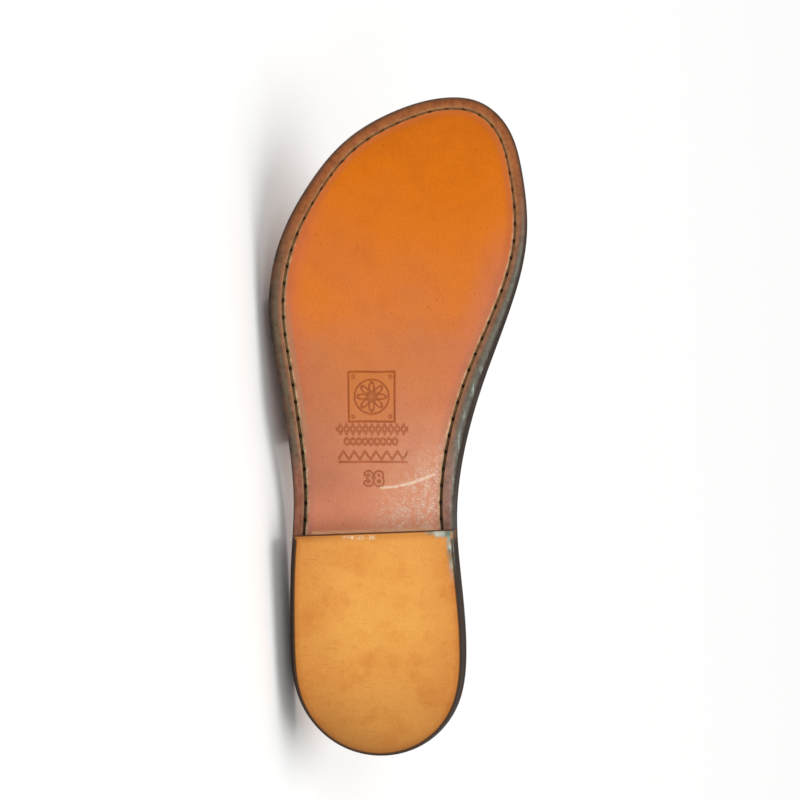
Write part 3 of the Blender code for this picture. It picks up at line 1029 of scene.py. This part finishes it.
heelLook = {
    "setback": 0.3 * mm,
    "taper": 1.3 * mm,
    "rim": 0.5 * mm,
    "breastRim": 0.35 * mm,
    "hollow": 0.12 * mm,
    "sidePoints": 150,
    "breastPoints": 90,
    "wallSteps": 8,
    "rimSteps": 5,
    "waves": ((0.045, 0.07 * mm, 3), (0.012, 0.0245 * mm, 4)),
    "hollowTread": 0.07 * mm,
    # the painted highlight on the polished corner: along the breast from the inner side, back from it,
    # down the inner side, in from the edge, and its least share of the ball width
    "cornerAcross": (0.0165, 0.0200),
    "cornerBack": (0.0007, 0.0015),
    "cornerAlong": (0.0660, 0.0820),
    "cornerIn": (0.0002, 0.0006, 0.0016, 0.0024),
    "cornerSide": 0.224,
    "roundedTo": (0.0845, 0.0860),      # the burnt rim ends at the breast
    "specksAt": ((0.0854, -0.0128), (0.0855, -0.0105), (0.0856, -0.0072), (0.0857, -0.0030)),
    "speckReach": (0.5 * mm, 1.1 * mm),
    # colours by share of the sole's length
    "treadColours": (
        (0.00, 176, 116, 54), (0.05, 212, 145, 68), (0.13, 232, 160, 76), (0.20, 243, 173, 84),
        (0.30, 243, 171, 84), (0.345, 236, 164, 80),
    ),
    "wallColours": ((0.3, 30, 18, 10), (0.7, 60, 40, 24)),
    "breastColours": ((0.3, 78, 50, 31), (0.7, 120, 80, 50)),
    "cornerHighlightColours": ((0.4, 112, 132, 118), (0.66, 196, 208, 196)),
}


def heelLevel(width, back):
    # the heel's ring in from the sole's edge, its breast moved back
    flat = inset(fineRing, width)
    half = len(flat) // 2

    def cutAtBreast(side):
        limit = breastX(side[:, 1]) - back
        last = int(np.argmax(side[:, 0] > limit))
        a, b = side[last - 1], side[last]
        da, db = limit[last - 1] - a[0], limit[last] - b[0]
        corner = a + (b - a) * da / (da - db)
        return respaced(np.vstack([side[:last], corner]), heelLook["sidePoints"])

    return cutAtBreast(flat[: half + 1]), cutAtBreast(np.vstack([flat[half:], flat[:1]])[::-1])


def makeHeel():
    look = heelLook
    seat = sandal["heelHeight"] - sandal["layerGap"]
    # width in from the sole's edge, breast moved back, height
    levels = []
    for _, inward, upward in rounding(look["rimSteps"]):
        width = look["setback"] + look["taper"] + look["rim"] * inward
        levels.append((width, look["breastRim"] * inward, look["rim"] * upward))
    for share in np.arange(1, look["wallSteps"] + 1) / look["wallSteps"]:
        hollow = look["hollow"] * math.sin(math.pi * share)
        width = look["setback"] + look["taper"] * (1 - share) + hollow
        levels.append((width, hollow * 0.4, look["rim"] + (seat - look["rim"]) * share))
    rows, columns = look["sidePoints"], look["breastPoints"]
    across = np.linspace(0, 1, columns + 1)
    points, loops = [], []
    for width, back, height in levels:
        inner, outer = heelLevel(width, back)
        loop = np.vstack([inner, acrossGrid(inner[-1:], outer[-1:], across[1:-1]), outer[:0:-1]])
        loops.append((inner, outer, loop, height))
        points.append(np.column_stack([loop, np.full(len(loop), height)]))
    count = len(loop)
    faces = ringFaces(len(loops), count)
    level = [np.full(count, k) for k in range(len(loops))]
    nearestRim = nearestOf(loops[0][2])
    used = count * len(loops)
    for place, mark in ((0, -1), (len(loops) - 1, len(loops))):
        inner, outer, loop, height = loops[place]
        flat = acrossGrid(inner[1:-1], outer[1:-1], across[1:-1])
        x, y = flat.T
        z = np.full(len(flat), height)
        if place == 0:
            uneven = wavy(x, y, look["waves"]) + look["hollowTread"]
            z += smooth(nearestRim(x, y)[1], 0.0, 0.010) * uneven
        points.append(np.column_stack([flat, z]))
        level.append(np.full(len(flat), mark))
        index = np.full((rows + 1, columns + 1), place * count)
        index[1:, 0] += np.arange(1, rows + 1)
        index[1:, -1] += count - np.arange(1, rows + 1)
        index[rows, 1:-1] += rows + np.arange(1, columns)
        index[1:rows, 1:-1] = used + np.arange(len(flat)).reshape(rows - 1, -1)
        used += len(flat)
        faces += gridFaces(index, place > 0)
    points, level = np.vstack(points), np.concatenate(level)
    x, y, z = points.T
    # 0 on the tread, up to 1 round the rim and above 1 on the wall
    zone = np.where(level < 0, 0.0, np.clip(level / look["rimSteps"], 0, 1))
    zone = np.where(level > look["rimSteps"], 1 + z / seat, zone)
    edge = nearestRim(x, y)[1]
    # where the painted highlight of the polished corner lies
    alongBreast = smooth(y, *look["cornerAcross"]) * (1 - smooth(breastX(y) - x, *look["cornerBack"]))
    onInner = y > sandal["ballWidth"] * look["cornerSide"]
    downSide = smooth(x, *look["cornerAlong"]) * window(edge, *look["cornerIn"]) * onInner
    reachX, reachY = look["speckReach"]
    specks = [hump(x - sx, reachX) * hump(y - sy, reachY) for sx, sy in look["specksAt"]]
    values = {
        "zone": zone,
        "edge": edge / mm,
        "corner": np.maximum(alongBreast, downSide) * (zone < 0.9),
        "rounded": 1 - smooth(x, *look["roundedTo"]),
        "specks": np.max(specks, axis=0),
    }
    return makePiece("heelLeather", points, faces, values, sharp=40)


def heelFinish():
    look = heelLook
    heel = Finish("naturalHeelLeather", 0.5, specular=0.16)
    along, across = heel.places()
    station, side = along / sandal["length"], across / sandal["ballWidth"]
    zone, edge, rounded = (heel.value(key) for key in ("zone", "edge", "rounded"))
    smudges = heel.noise(88, 6, 0.66)
    fine = heel.noise(1100, 4, 0.6)
    scratches = heel.noise((1900.0, 130.0, 100.0), 2)
    # darker towards both sides and the back
    tread = station.ramp(look["treadColours"])
    tread = tread.tint(side.step(-0.08, -0.36), 0.84, 0.76, 0.72)
    tread = tread.tint(side.step(0.10, 0.34), 0.88, 0.78, 0.76)
    tread = tread.tint(station.step(0.13, 0.03) * side.step(0.04, -0.22), 0.80, 0.78, 0.78)
    # smudges, grime, pores and scratches
    tread = tread.tint(smudges.step(0.48, 0.78), 0.90, 0.78, 0.68)
    tread = tread.tint(heel.noise((62.0, 44.0, 50.0), 4).step(0.54, 0.34), 0.94, 0.86, 0.78)
    tread = tread.tint(heel.noise(260, 5, 0.7).step(0.52, 0.72), 0.92, 0.86, 0.80)
    tread = tread.tint(fine.step(0.62, 0.36), 0.94, 0.92, 0.90)
    tread = tread.tint(scratches.step(0.64, 0.74), 0.84, 0.78, 0.72)
    # rim and wall
    tread = tread.tint(edge.step(3.2, 0.5), 0.84, 0.78, 0.76)
    tread = tread.blend(edge.step(0.85, 0.25) * rounded, (72, 52, 36))
    fibres = heel.noise((70.0, 70.0, 1100.0), 3)
    wall = fibres.ramp(look["breastColours"]).blend(rounded, fibres.ramp(look["wallColours"]))
    colour = tread.blend(zone.step(0.10, 0.5), wall)
    # painted highlight on the polished corner, and the pale specks by the breast
    corner = heel.value("corner") * heel.noise(420, 3).step(0.3, 0.6, 0.5, 1.0)
    colour = colour.blend(corner, heel.noise(240, 2).ramp(look["cornerHighlightColours"]))
    specks = heel.value("specks") * heel.noise(900, 2).step(0.42, 0.55)
    heel.wear("Base Color", colour.blend(specks, (250, 240, 214)))
    gloss = smudges.step(0.3, 0.7, 0.44, 0.56) - corner * 0.2
    heel.wear("Roughness", gloss + zone.step(0.10, 0.5, 0.0, 0.14))
    heel.bump((smudges, 0.15 * mm, 0.3), (fine, 0.05 * mm, 0.5), (scratches, 0.05 * mm, 0.4))
    return heel


dress(makeHeel(), heelFinish(), "heel_leather", "heel_lift")


# Band

bandSizes = {
    "wall": 0.002,
    "setback": 0.001,
    "tuck": 0.013,
    "tuckBend": 0.0015,
    "clearance": 0.0003,
    "instepHeight": 0.060,
    "bendSteps": 6,
    "archSteps": 120,
    "rungs": 4000,          # sections worked out on the sole's length, and read between them
}

# station of the rear and front edge on the outer side, over the ridge and on the inner side
bandEdges = ((0.470, 0.697), (0.500, 0.752), (0.503, 0.768))

# station, height as a share of the instep's, ridge from the outer side, outer and inner fullness
lastSections = (
    (0.42, 1.03, 0.55, 2.05, 2.15),
    (0.50, 0.93, 0.57, 2.10, 2.20),
    (0.60, 0.80, 0.59, 2.15, 2.30),
    (0.70, 0.69, 0.60, 2.20, 2.40),
    (0.80, 0.60, 0.60, 2.25, 2.45),
)

outerSideAlong = outerSide[::-1]


def bandSection(station, tuck):
    # the band's inner face across the sole, from the outer tuck to the inner one
    size = bandSizes
    x = station * sandal["length"]
    edgeIn = size["setback"] + size["wall"]
    innerY = np.interp(x, innerSide[:, 0], innerSide[:, 1]) - edgeIn
    outerY = np.interp(x, outerSideAlong[:, 0], outerSideAlong[:, 1]) + edgeIn
    rows = np.array(lastSections)
    share, ridge, outerFull, innerFull = (np.interp(station, rows[:, 0], rows[:, k]) for k in range(1, 5))
    ridgeY = outerY + ridge * (innerY - outerY)
    height = share * size["instepHeight"]
    floor = float(insoleTop(x))
    low = float(insoleBottom(x)) + size["wall"]

    def tucked(edgeY, towards):
        spots = [(edgeY + towards * tuck, low), (edgeY + towards * (tuck + size["tuckBend"]) / 2, low)]
        for _, inward, upward in rounding(size["bendSteps"]):
            spots.append((edgeY + towards * size["tuckBend"] * inward, low + size["tuckBend"] * upward))
        return spots

    path = tucked(outerY, 1)
    for step in range(size["archSteps"] + 1):
        angle = math.pi * step / size["archSteps"]
        side = math.cos(angle)
        full = outerFull if side > 0 else innerFull
        reach = ridgeY - outerY if side > 0 else innerY - ridgeY
        y = ridgeY - math.copysign(abs(side) ** (2 / full), side) * reach
        path.append((y, floor + height * math.sin(angle) ** (2 / full)))
    return path + tucked(innerY, -1)[::-1]


bandSpots = len(bandSection(0.6, bandSizes["tuck"]))
bandFoot = bandSizes["bendSteps"] + 3       # spots before the arch begins
archShare = np.clip((np.arange(bandSpots) - bandFoot) / (bandSpots - 1 - 2 * bandFoot), 0, 1)


def bandEdge(column, across):
    low, middle, high = (row[column] for row in bandEdges)
    if across < 0.5:
        return low + (middle - low) * math.sin(math.pi * across)
    return high + (middle - high) * math.sin(math.pi * across)


bandLook = {
    # distances in from either edge of the band, in millimetres, between which rows are even
    "edgeRows": (0.0, 0.12, 0.35, 0.8, 1.5, 2.1, 2.5, 2.75, 3.0, 3.25, 3.5, 3.9, 4.6, 6.0),
    "evenRows": 34,
    # how much of the wall is turned away at each side of an edge, by distance in from it
    "edgeTurn": ((0.0, 0.12, 0.35, 0.8), (0.42, 0.22, 0.06, 0.0)),
    "stitchIn": 3.0,
    "stitchReach": 0.42,
    "stitchSink": 0.28 * mm,
    "stitchPitch": 3.2 * mm,
    # the leather swells beside the seam: in from the edge and reach in millimetres, height
    "pillows": ((1.6, 0.8, 0.12 * mm), (5.2, 1.2, 0.072 * mm)),
    "upSpan": (0.02, 0.08, 0.92, 0.98),     # shares of the arch where it stands clear of the sole
    "liningShare": 0.4,     # of the wall
    "liningIn": 0.25 * mm,
    "glueLine": 0.03 * mm,
    # soft creases of the flexing leather: station and share of the arch at both ends,
    # half width and depth in millimetres
    "creases": (
        (0.662, 0.10, 0.715, 0.37, 3.2, 0.34),
        (0.715, 0.60, 0.682, 0.90, 3.0, 0.34),
        (0.628, 0.13, 0.655, 0.28, 3.6, 0.24),
        (0.650, 0.74, 0.612, 0.90, 3.8, 0.26),
        (0.560, 0.68, 0.548, 0.86, 4.2, 0.18),
    ),
    "creaseSpan": 0.11,     # the arch's length in metres, near enough for a crease's own frame
    "creaseBow": 0.0022,
    "creaseRidge": 0.45,
    "creaseShare": 0.8,     # of a crease's depth that both faces follow
    "leatherColours": ((0.3, 108, 58, 31), (0.5, 134, 77, 43), (0.7, 158, 94, 55)),
    "liningColours": ((0.3, 176, 128, 84), (0.7, 202, 156, 108)),
}
bandSections = {}


def bandSpot(station, tuck, spot):
    # sections are worked out on a fine ladder of stations and read between its rungs
    rungs = bandSizes["rungs"]
    low = math.floor(station * rungs)
    for rung in (low, low + 1):
        if (rung, tuck) not in bandSections:
            bandSections[(rung, tuck)] = np.array(bandSection(rung / rungs, tuck))
    share = station * rungs - low
    y, z = bandSections[(low, tuck)][spot] * (1 - share) + bandSections[(low + 1, tuck)][spot] * share
    return station * sandal["length"], y, z


def bandGrid(stationOf, tuck):
    # inner face points and outward normals on a grid of rows by section spots
    face = np.array([[bandSpot(station, tuck, j) for j, station in enumerate(row)] for row in stationOf])
    out = np.cross(np.gradient(face, axis=1), np.gradient(face, axis=0))
    out /= np.linalg.norm(out, axis=2)[:, :, None]
    if out[len(out) // 2, bandSpots // 2, 2] < 0:
        out = -out
    return face, out


def bandStations(distances, evenRows, trim):
    # each row's station at each spot: set distances in from the edges, even rows between
    near = (np.array(distances) * mm + trim) / sandal["length"]
    columns = []
    for across in archShare:
        rear, front = bandEdge(0, across), bandEdge(1, across)
        middle = np.linspace(rear + near[-1], front - near[-1], evenRows + 2)[1:-1]
        columns.append(np.concatenate([rear + near, middle, (front - near)[::-1]]))
    return np.array(columns).T


def creaseDepth(station, share):
    # soft troughs with a low ridge on either side
    look = bandLook
    total = np.zeros_like(station)
    px, py = station * sandal["length"], share * look["creaseSpan"]
    for startAt, startShare, endAt, endShare, halfWidth, depth in look["creases"]:
        ax, ay = startAt * sandal["length"], startShare * look["creaseSpan"]
        bx, by = endAt * sandal["length"], endShare * look["creaseSpan"]
        length = math.hypot(bx - ax, by - ay)
        t = ((px - ax) * (bx - ax) + (py - ay) * (by - ay)) / length ** 2
        bow = look["creaseBow"] * np.sin(math.pi * np.clip(t, 0, 1))
        away = ((px - ax) * (by - ay) - (py - ay) * (bx - ax)) / length + bow
        half = halfWidth * mm
        trough = hump(away, half) - look["creaseRidge"] * hump(np.abs(away) - 1.9 * half, half)
        total = total + trough * window(t, -0.15, 0.25, 0.75, 1.15) * depth * mm
    return total


def shellPoints(inner, outer):
    return np.vstack([inner.reshape(-1, 3), outer.reshape(-1, 3)])


def shellFaces(rows, spots):
    # faces over a grid of points and over a second one outside it, and round their rims
    shift = rows * spots
    faces = []
    for a in np.arange(shift).reshape(rows, spots)[:-1, :-1].reshape(-1).tolist():
        faces.append([a, a + spots, a + spots + 1, a + 1])
        faces.append([shift + a, shift + a + 1, shift + a + spots + 1, shift + a + spots])
    for a in range(0, shift - spots, spots):
        b = a + spots - 1
        faces.append([a, shift + a, shift + a + spots, a + spots])
        faces.append([b, b + spots, shift + b + spots, shift + b])
    for a in range(spots - 1):
        b = a + shift - spots
        faces.append([a, a + 1, shift + a + 1, shift + a])
        faces.append([b, shift + b, shift + b + 1, b + 1])
    return faces


def makeBandLayer(name, low, high, trim, outerFace):
    # one layer of the band from low to high outside its inner face
    look = bandLook
    distances = look["edgeRows"]
    stationOf = bandStations(distances, look["evenRows"], trim)
    face, out = bandGrid(stationOf, bandSizes["tuck"])
    share = np.broadcast_to(archShare, stationOf.shape)
    inside = [9.0] * look["evenRows"]       # well in from both edges
    fromEdge = np.array([*distances, *inside, *distances[::-1]])[:, None]
    crown = np.interp(fromEdge, *look["edgeTurn"]) * (high - low)
    sink = creaseDepth(stationOf, share)
    up = window(share, *look["upSpan"])
    upper = high - crown - up * sink * look["creaseShare"]
    lower = low + crown - up * sink * look["creaseShare"]
    if outerFace:
        swelling = sum(hump(fromEdge - at, reach) * height for at, reach, height in look["pillows"])
        seam = hump(fromEdge - look["stitchIn"], look["stitchReach"])
        upper = upper + up * (swelling - seam * look["stitchSink"])
    points = shellPoints(face + out * lower[:, :, None], face + out * upper[:, :, None])
    edge = np.broadcast_to(fromEdge, stationOf.shape)
    values = {"edge": np.concatenate([edge, edge]).reshape(-1)}
    values["crease"] = np.concatenate([sink, sink]).reshape(-1) / mm
    return makePiece(name, points, shellFaces(*stationOf.shape), values, sharp=50)


def bandFinish():
    band = Finish("brownBandLeather", 0.42, coat=0.1, coatRoughness=0.3)
    edge, crease = band.value("edge"), band.value("crease")
    broad = band.noise(38, 4, 0.55)
    fine = band.noise(700, 4, 0.6)
    # fine pebbled grain: rounded cells and the creases between them
    grain = band.cells(1150, "DISTANCE_TO_EDGE").step(0.0, 0.22)
    colour = broad.ramp(bandLook["leatherColours"])
    colour = colour.blend(grain.step(0.0, 0.6, 0.35, 0.0), (84, 44, 24))
    # painted shade in the creases and a painted highlight on the low ridges beside them
    colour = colour.blend(crease.step(0.1, 0.55, 0.0, 0.4), (88, 48, 28))
    colour = colour.blend(crease.step(-0.02, -0.2, 0.0, 0.3), (176, 112, 68))
    colour = colour.blend(edge.step(1.6, 0.5, 0.0, 0.6), (82, 46, 27))
    colour = colour.blend(edge.step(0.5, 0.15), (48, 31, 22))
    seam = (edge - bandLook["stitchIn"]).maths("ABSOLUTE").fromOne(clamp=True)
    band.wear("Base Color", colour.blend(seam * 0.3, (84, 46, 26)))
    band.wear("Roughness", fine.step(0.3, 0.7, 0.36, 0.5))
    band.bump((broad, 0.3 * mm, 0.2), (grain, 0.06 * mm, 0.55), (fine, 0.04 * mm, 0.4))
    return band


def liningFinish():
    lining = Finish("tanBandLining", 0.6)
    broad = lining.noise(45, 4, 0.55)
    fine = lining.noise(1300, 4, 0.6)
    colour = broad.ramp(bandLook["liningColours"])
    lining.wear("Base Color", colour.blend(lining.value("edge").step(0.7, 0.1), (70, 46, 32)))
    lining.bump((broad, 0.2 * mm, 0.2), (fine, 0.06 * mm, 0.5))
    return lining


liningTop = bandSizes["wall"] * bandLook["liningShare"]
band = makeBandLayer("bandLeather", liningTop + bandLook["glueLine"], bandSizes["wall"], 0.0, True)
dress(band, bandFinish(), "strap_leather", "strap")
lining = makeBandLayer("bandLining", 0.0, liningTop, bandLook["liningIn"], False)
dress(lining, liningFinish(), "strap_leather", "strap")


def bandStitches():
    # rows of thread near both edges of the band, from one side of the sole to the other
    look = bandLook
    stitchIn = look["stitchIn"]
    stationOf = bandStations((stitchIn - 0.5, stitchIn, stitchIn + 0.5), 3, 0.0)
    face, out = bandGrid(stationOf, bandSizes["tuck"])
    seen = slice(bandFoot + 2, bandSpots - bandFoot - 2)
    paths = []
    for row in (1, len(stationOf) - 2):
        sunk = look["stitchSink"] + look["creaseShare"] * creaseDepth(stationOf[row], archShare)
        line = (face[row] + out[row] * (bandSizes["wall"] - sunk)[:, None])[seen]
        normal = out[row][seen]
        travelled = travelAlong(line)
        count = int(travelled[-1] / look["stitchPitch"])

        def spotAt(distance, height):
            spot, lean = (
                np.array([np.interp(distance, travelled, track[:, k]) for k in range(3)])
                for track in (line, normal)
            )
            return spot + lean * height

        paths += stitchPaths("bandSeam", count, travelled[-1] / count, spotAt)
    return paths


bandThread = joinedTubes("bandStitches", bandStitches(), threadLook["bandRadius"])
dress(bandThread, threadFinish("tanBandThread", (196, 150, 98), (140, 98, 58)), "strap_leather")


# Footbed

footbedLook = {
    "ringPoints": 720,
    "columns": 44,
    "underRound": 0.25 * mm,
    "edgeOut": 0.03 * mm,
    "edgeRound": 0.9 * mm,
    "roundSteps": 5,
    "channelHalf": 0.8 * mm,
    "channelDepth": 0.30 * mm,
    # rings over the channel: in from the seam in half widths, and share of the depth
    "channelRings": ((-2.2, 0), (-1.2, 0), (-0.8, 0.4), (0.0, 1.0), (0.8, 0.4), (1.2, 0), (2.4, 0)),
    "holeReach": 0.9 * mm,
    "holeDepth": 0.35 * mm,
    "holeShade": 0.5 * mm,
    "dish": 0.35 * mm,
    "waves": ((0.05, 0.06 * mm, 6),),
    "notchRows": 22,
    "leatherColours": ((0.3, 168, 112, 66), (0.5, 184, 126, 78), (0.72, 200, 142, 92)),
    "poreColours": ((0.3, 90, 56, 30), (0.7, 255, 220, 180)),
    "wallColours": ((0.3, 54, 38, 28), (0.7, 88, 64, 46)),
}


def makeFootbed():
    look = footbedLook
    ring = soleRing(look["ringPoints"])
    seam = seamInset(ring)
    hole = hump(fromHole(*inset(ring, seam).T), look["holeReach"])
    edgeRound = look["edgeRound"]
    # inset, the face that it is measured from and height above that face
    levels = [(look["underRound"], insoleBottom, 0.0), (0.0, insoleBottom, look["underRound"])]
    for share in (0.3, 0.6):
        levels.append((-look["edgeOut"], insoleBottom, (sandal["insoleThickness"] - edgeRound) * share))
    for _, downward, inward in rounding(look["roundSteps"]):
        levels.append((edgeRound * inward, insoleTop, -edgeRound * downward))
    for share, dip in look["channelRings"]:
        sink = hole * look["holeDepth"] if share == 0 else 0.0
        levels.append((seam + look["channelHalf"] * share, insoleTop, -dip * look["channelDepth"] - sink))
    rings = []
    for width, heightOf, above in levels:
        xy = inset(ring, width)
        rings.append((xy, heightOf(xy[:, 0]) + above))

    def top(x, y):
        inside = smooth(fromSeam(x, y), 0.001, 0.016)
        dish = look["dish"] * (0.75 + 0.25 * np.cos(2 * math.pi * (x / sandal["length"] - 0.2) / 0.55))
        return insoleTop(x) + inside * (wavy(x, y, look["waves"]) - dish)

    lowCap = (np.linspace(0, 1, 5), lambda x, y: insoleBottom(x))
    points, faces, _ = plate(rings, lowCap, (np.linspace(0, 1, look["columns"]), top))
    piece = makePiece("footbedLeather", points, faces, sharp=40)
    cutForBand(piece)
    x, y, z = np.array([v.co for v in piece.data.vertices]).T
    seamAway = fromSeam(x, y)
    setValues(piece.data, {
        "top": z > insoleTop(x) - edgeRound * 1.02,
        "fromEdge": nearestOf(np.vstack([innerSide, outerSide]))(x, y)[1] / mm,
        "fromSeam": seamAway / mm,
        "hole": hump(fromHole(x, y), look["holeShade"]) * hump(seamAway, look["holeShade"]),
    })
    return piece


def cutForBand(piece):
    # the notch at both edges and the recess underneath that the band's tucks lie in
    size = bandSizes
    gap = size["clearance"]
    stationOf = bandStations((0.0, 1.0), footbedLook["notchRows"], -gap)
    face, out = bandGrid(stationOf, size["tuck"] + gap)
    points = shellPoints(face - out * gap, face + out * (size["wall"] + 3 * size["setback"]))
    cutter = makePiece("bandNotch", points, shellFaces(*stationOf.shape))
    modifier = piece.modifiers.new("notch", "BOOLEAN")
    modifier.operation = "DIFFERENCE"
    modifier.object = cutter
    graph = bpy.context.evaluated_depsgraph_get()
    mesh = bpy.data.meshes.new_from_object(piece.evaluated_get(graph))
    piece.modifiers.clear()
    piece.data = mesh
    smoothShaded(mesh, 40)
    bpy.data.objects.remove(cutter)


def footbedFinish():
    look = footbedLook
    bed = Finish("tanFootbedLeather", 0.46, coat=0.06, coatRoughness=0.3)
    patches = bed.noise(120, 4, 0.6)
    fine = bed.noise(1000, 4, 0.6)
    colour = bed.noise(24, 4, 0.55).ramp(look["leatherColours"])
    colour = colour.blend(patches.step(0.5, 0.75, 0.0, 0.3), (156, 98, 56))
    colour = colour.mix(0.12, fine.ramp(look["poreColours"]), "OVERLAY")
    colour = colour.blend(bed.value("fromEdge").step(4.5, 1.0, 0.0, 0.45), (130, 82, 48))
    colour = colour.blend(bed.value("fromSeam").step(0.9, 0.4, 0.0, 0.5), (110, 68, 40))
    wall = bed.noise((60.0, 60.0, 1000.0), 3).ramp(look["wallColours"])
    colour = colour.blend(bed.value("top").step(0.9, 0.1), wall)
    # painted shade in the stitch holes
    bed.wear("Base Color", colour.blend(bed.value("hole") * 0.8, (40, 26, 18)))
    bed.wear("Roughness", patches.step(0.3, 0.7, 0.4, 0.54))
    bed.bump((patches, 0.2 * mm, 0.25), (fine, 0.05 * mm, 0.5))
    return bed


dress(makeFootbed(), footbedFinish(), "footbed_leather", "insole")
bedThread = seamStitches("bedSeam", insoleTop)
bedStitches = joinedTubes("footbedStitches", bedThread, threadLook["bedRadius"])
dress(bedStitches, threadFinish("tanFootbedThread", (206, 164, 116), (150, 108, 70)), "footbed_leather")


# Studio

studio = {
    "floorHalf": 40.0,
    "distance": 0.95,
    "sensor": 36.0,
    "pixelsPerMetre": 2584.0,
    "frameWidth": 800,
    "aimAt": (0.1387, 0.0078, 0.004),   # the sole point in the middle of the picture
    "tiltToInner": 2.0,                 # degrees, the camera leans towards the inner side
    "skyStrength": 0.42,
    # place, size and power of each panel, which faces a spot just above the floor
    "keyPanel": ((-0.9, -1.5, 1.6), 1.2, 9),
    "fillPanel": ((1.2, -1.4, 0.9), 1.0, 5),
    "litSpot": (0, 0, 0.05),
    "overheadFrom": (0.2, 0.3, 2.3),
    "overheadStrength": 1.8,
    "overheadSpread": 55.0,             # degrees, for a soft shadow
}


def makeFloor():
    half = studio["floorHalf"]
    mesh = bpy.data.meshes.new("studioFloor")
    corners = [(-half, -half, 0), (half, -half, 0), (half, half, 0), (-half, half, 0)]
    mesh.from_pydata(corners, [], [(0, 1, 2, 3)])
    floor = addObject("studioFloor", mesh)
    material = bpy.data.materials.new("paleFloor")
    material.use_nodes = True
    shader = material.node_tree.nodes["Principled BSDF"]
    shader.inputs["Base Color"].default_value = (0.93, 0.93, 0.925, 1)
    shader.inputs["Roughness"].default_value = 0.75
    shader.inputs["Specular IOR Level"].default_value = 0.2
    mesh.materials.append(material)


def areaLight(name):
    place, size, power = studio[name]
    data = bpy.data.lights.new(name, "AREA")
    data.shape = "RECTANGLE"
    data.size = data.size_y = size
    data.energy = power
    lamp = addObject(name, data)
    lamp.location = place
    lamp.rotation_euler = (Vector(studio["litSpot"]) - Vector(place)).to_track_quat("-Z", "Y").to_euler()


def makeLights():
    world = bpy.data.worlds.new("softWhite")
    world.use_nodes = True
    background = world.node_tree.nodes["Background"]
    background.inputs["Color"].default_value = (1, 1, 1, 1)
    background.inputs["Strength"].default_value = studio["skyStrength"]
    bpy.context.scene.world = world
    areaLight("keyPanel")
    areaLight("fillPanel")
    sky = bpy.data.lights.new("softOverhead", "SUN")
    sky.energy = studio["overheadStrength"]
    sky.angle = math.radians(studio["overheadSpread"])
    overhead = addObject("softOverhead", sky)
    overhead.rotation_euler = Vector(studio["overheadFrom"]).to_track_quat("Z", "Y").to_euler()


def makeCamera():
    aim = layingDown @ Vector(studio["aimAt"])
    toe, inner, up = layingDown.to_3x3().col
    lean = math.radians(studio["tiltToInner"])
    outward = (-up * math.cos(lean) + inner * math.sin(lean)).normalized()
    rightward = toe.cross(outward)
    data = bpy.data.cameras.new("photoCamera")
    data.sensor_width = studio["sensor"]
    width = studio["frameWidth"] / studio["pixelsPerMetre"]
    data.lens = studio["sensor"] * studio["distance"] / width
    camera = addObject("photoCamera", data)
    turn = Matrix((rightward, outward.cross(rightward), outward)).transposed().to_4x4()
    camera.matrix_world = Matrix.Translation(aim + outward * studio["distance"]) @ turn
    bpy.context.scene.camera = camera
    print("camera height", round(camera.matrix_world.translation.z, 3))


makeFloor()
makeLights()
makeCamera()
bpy.context.scene.view_settings.view_transform = "Standard"
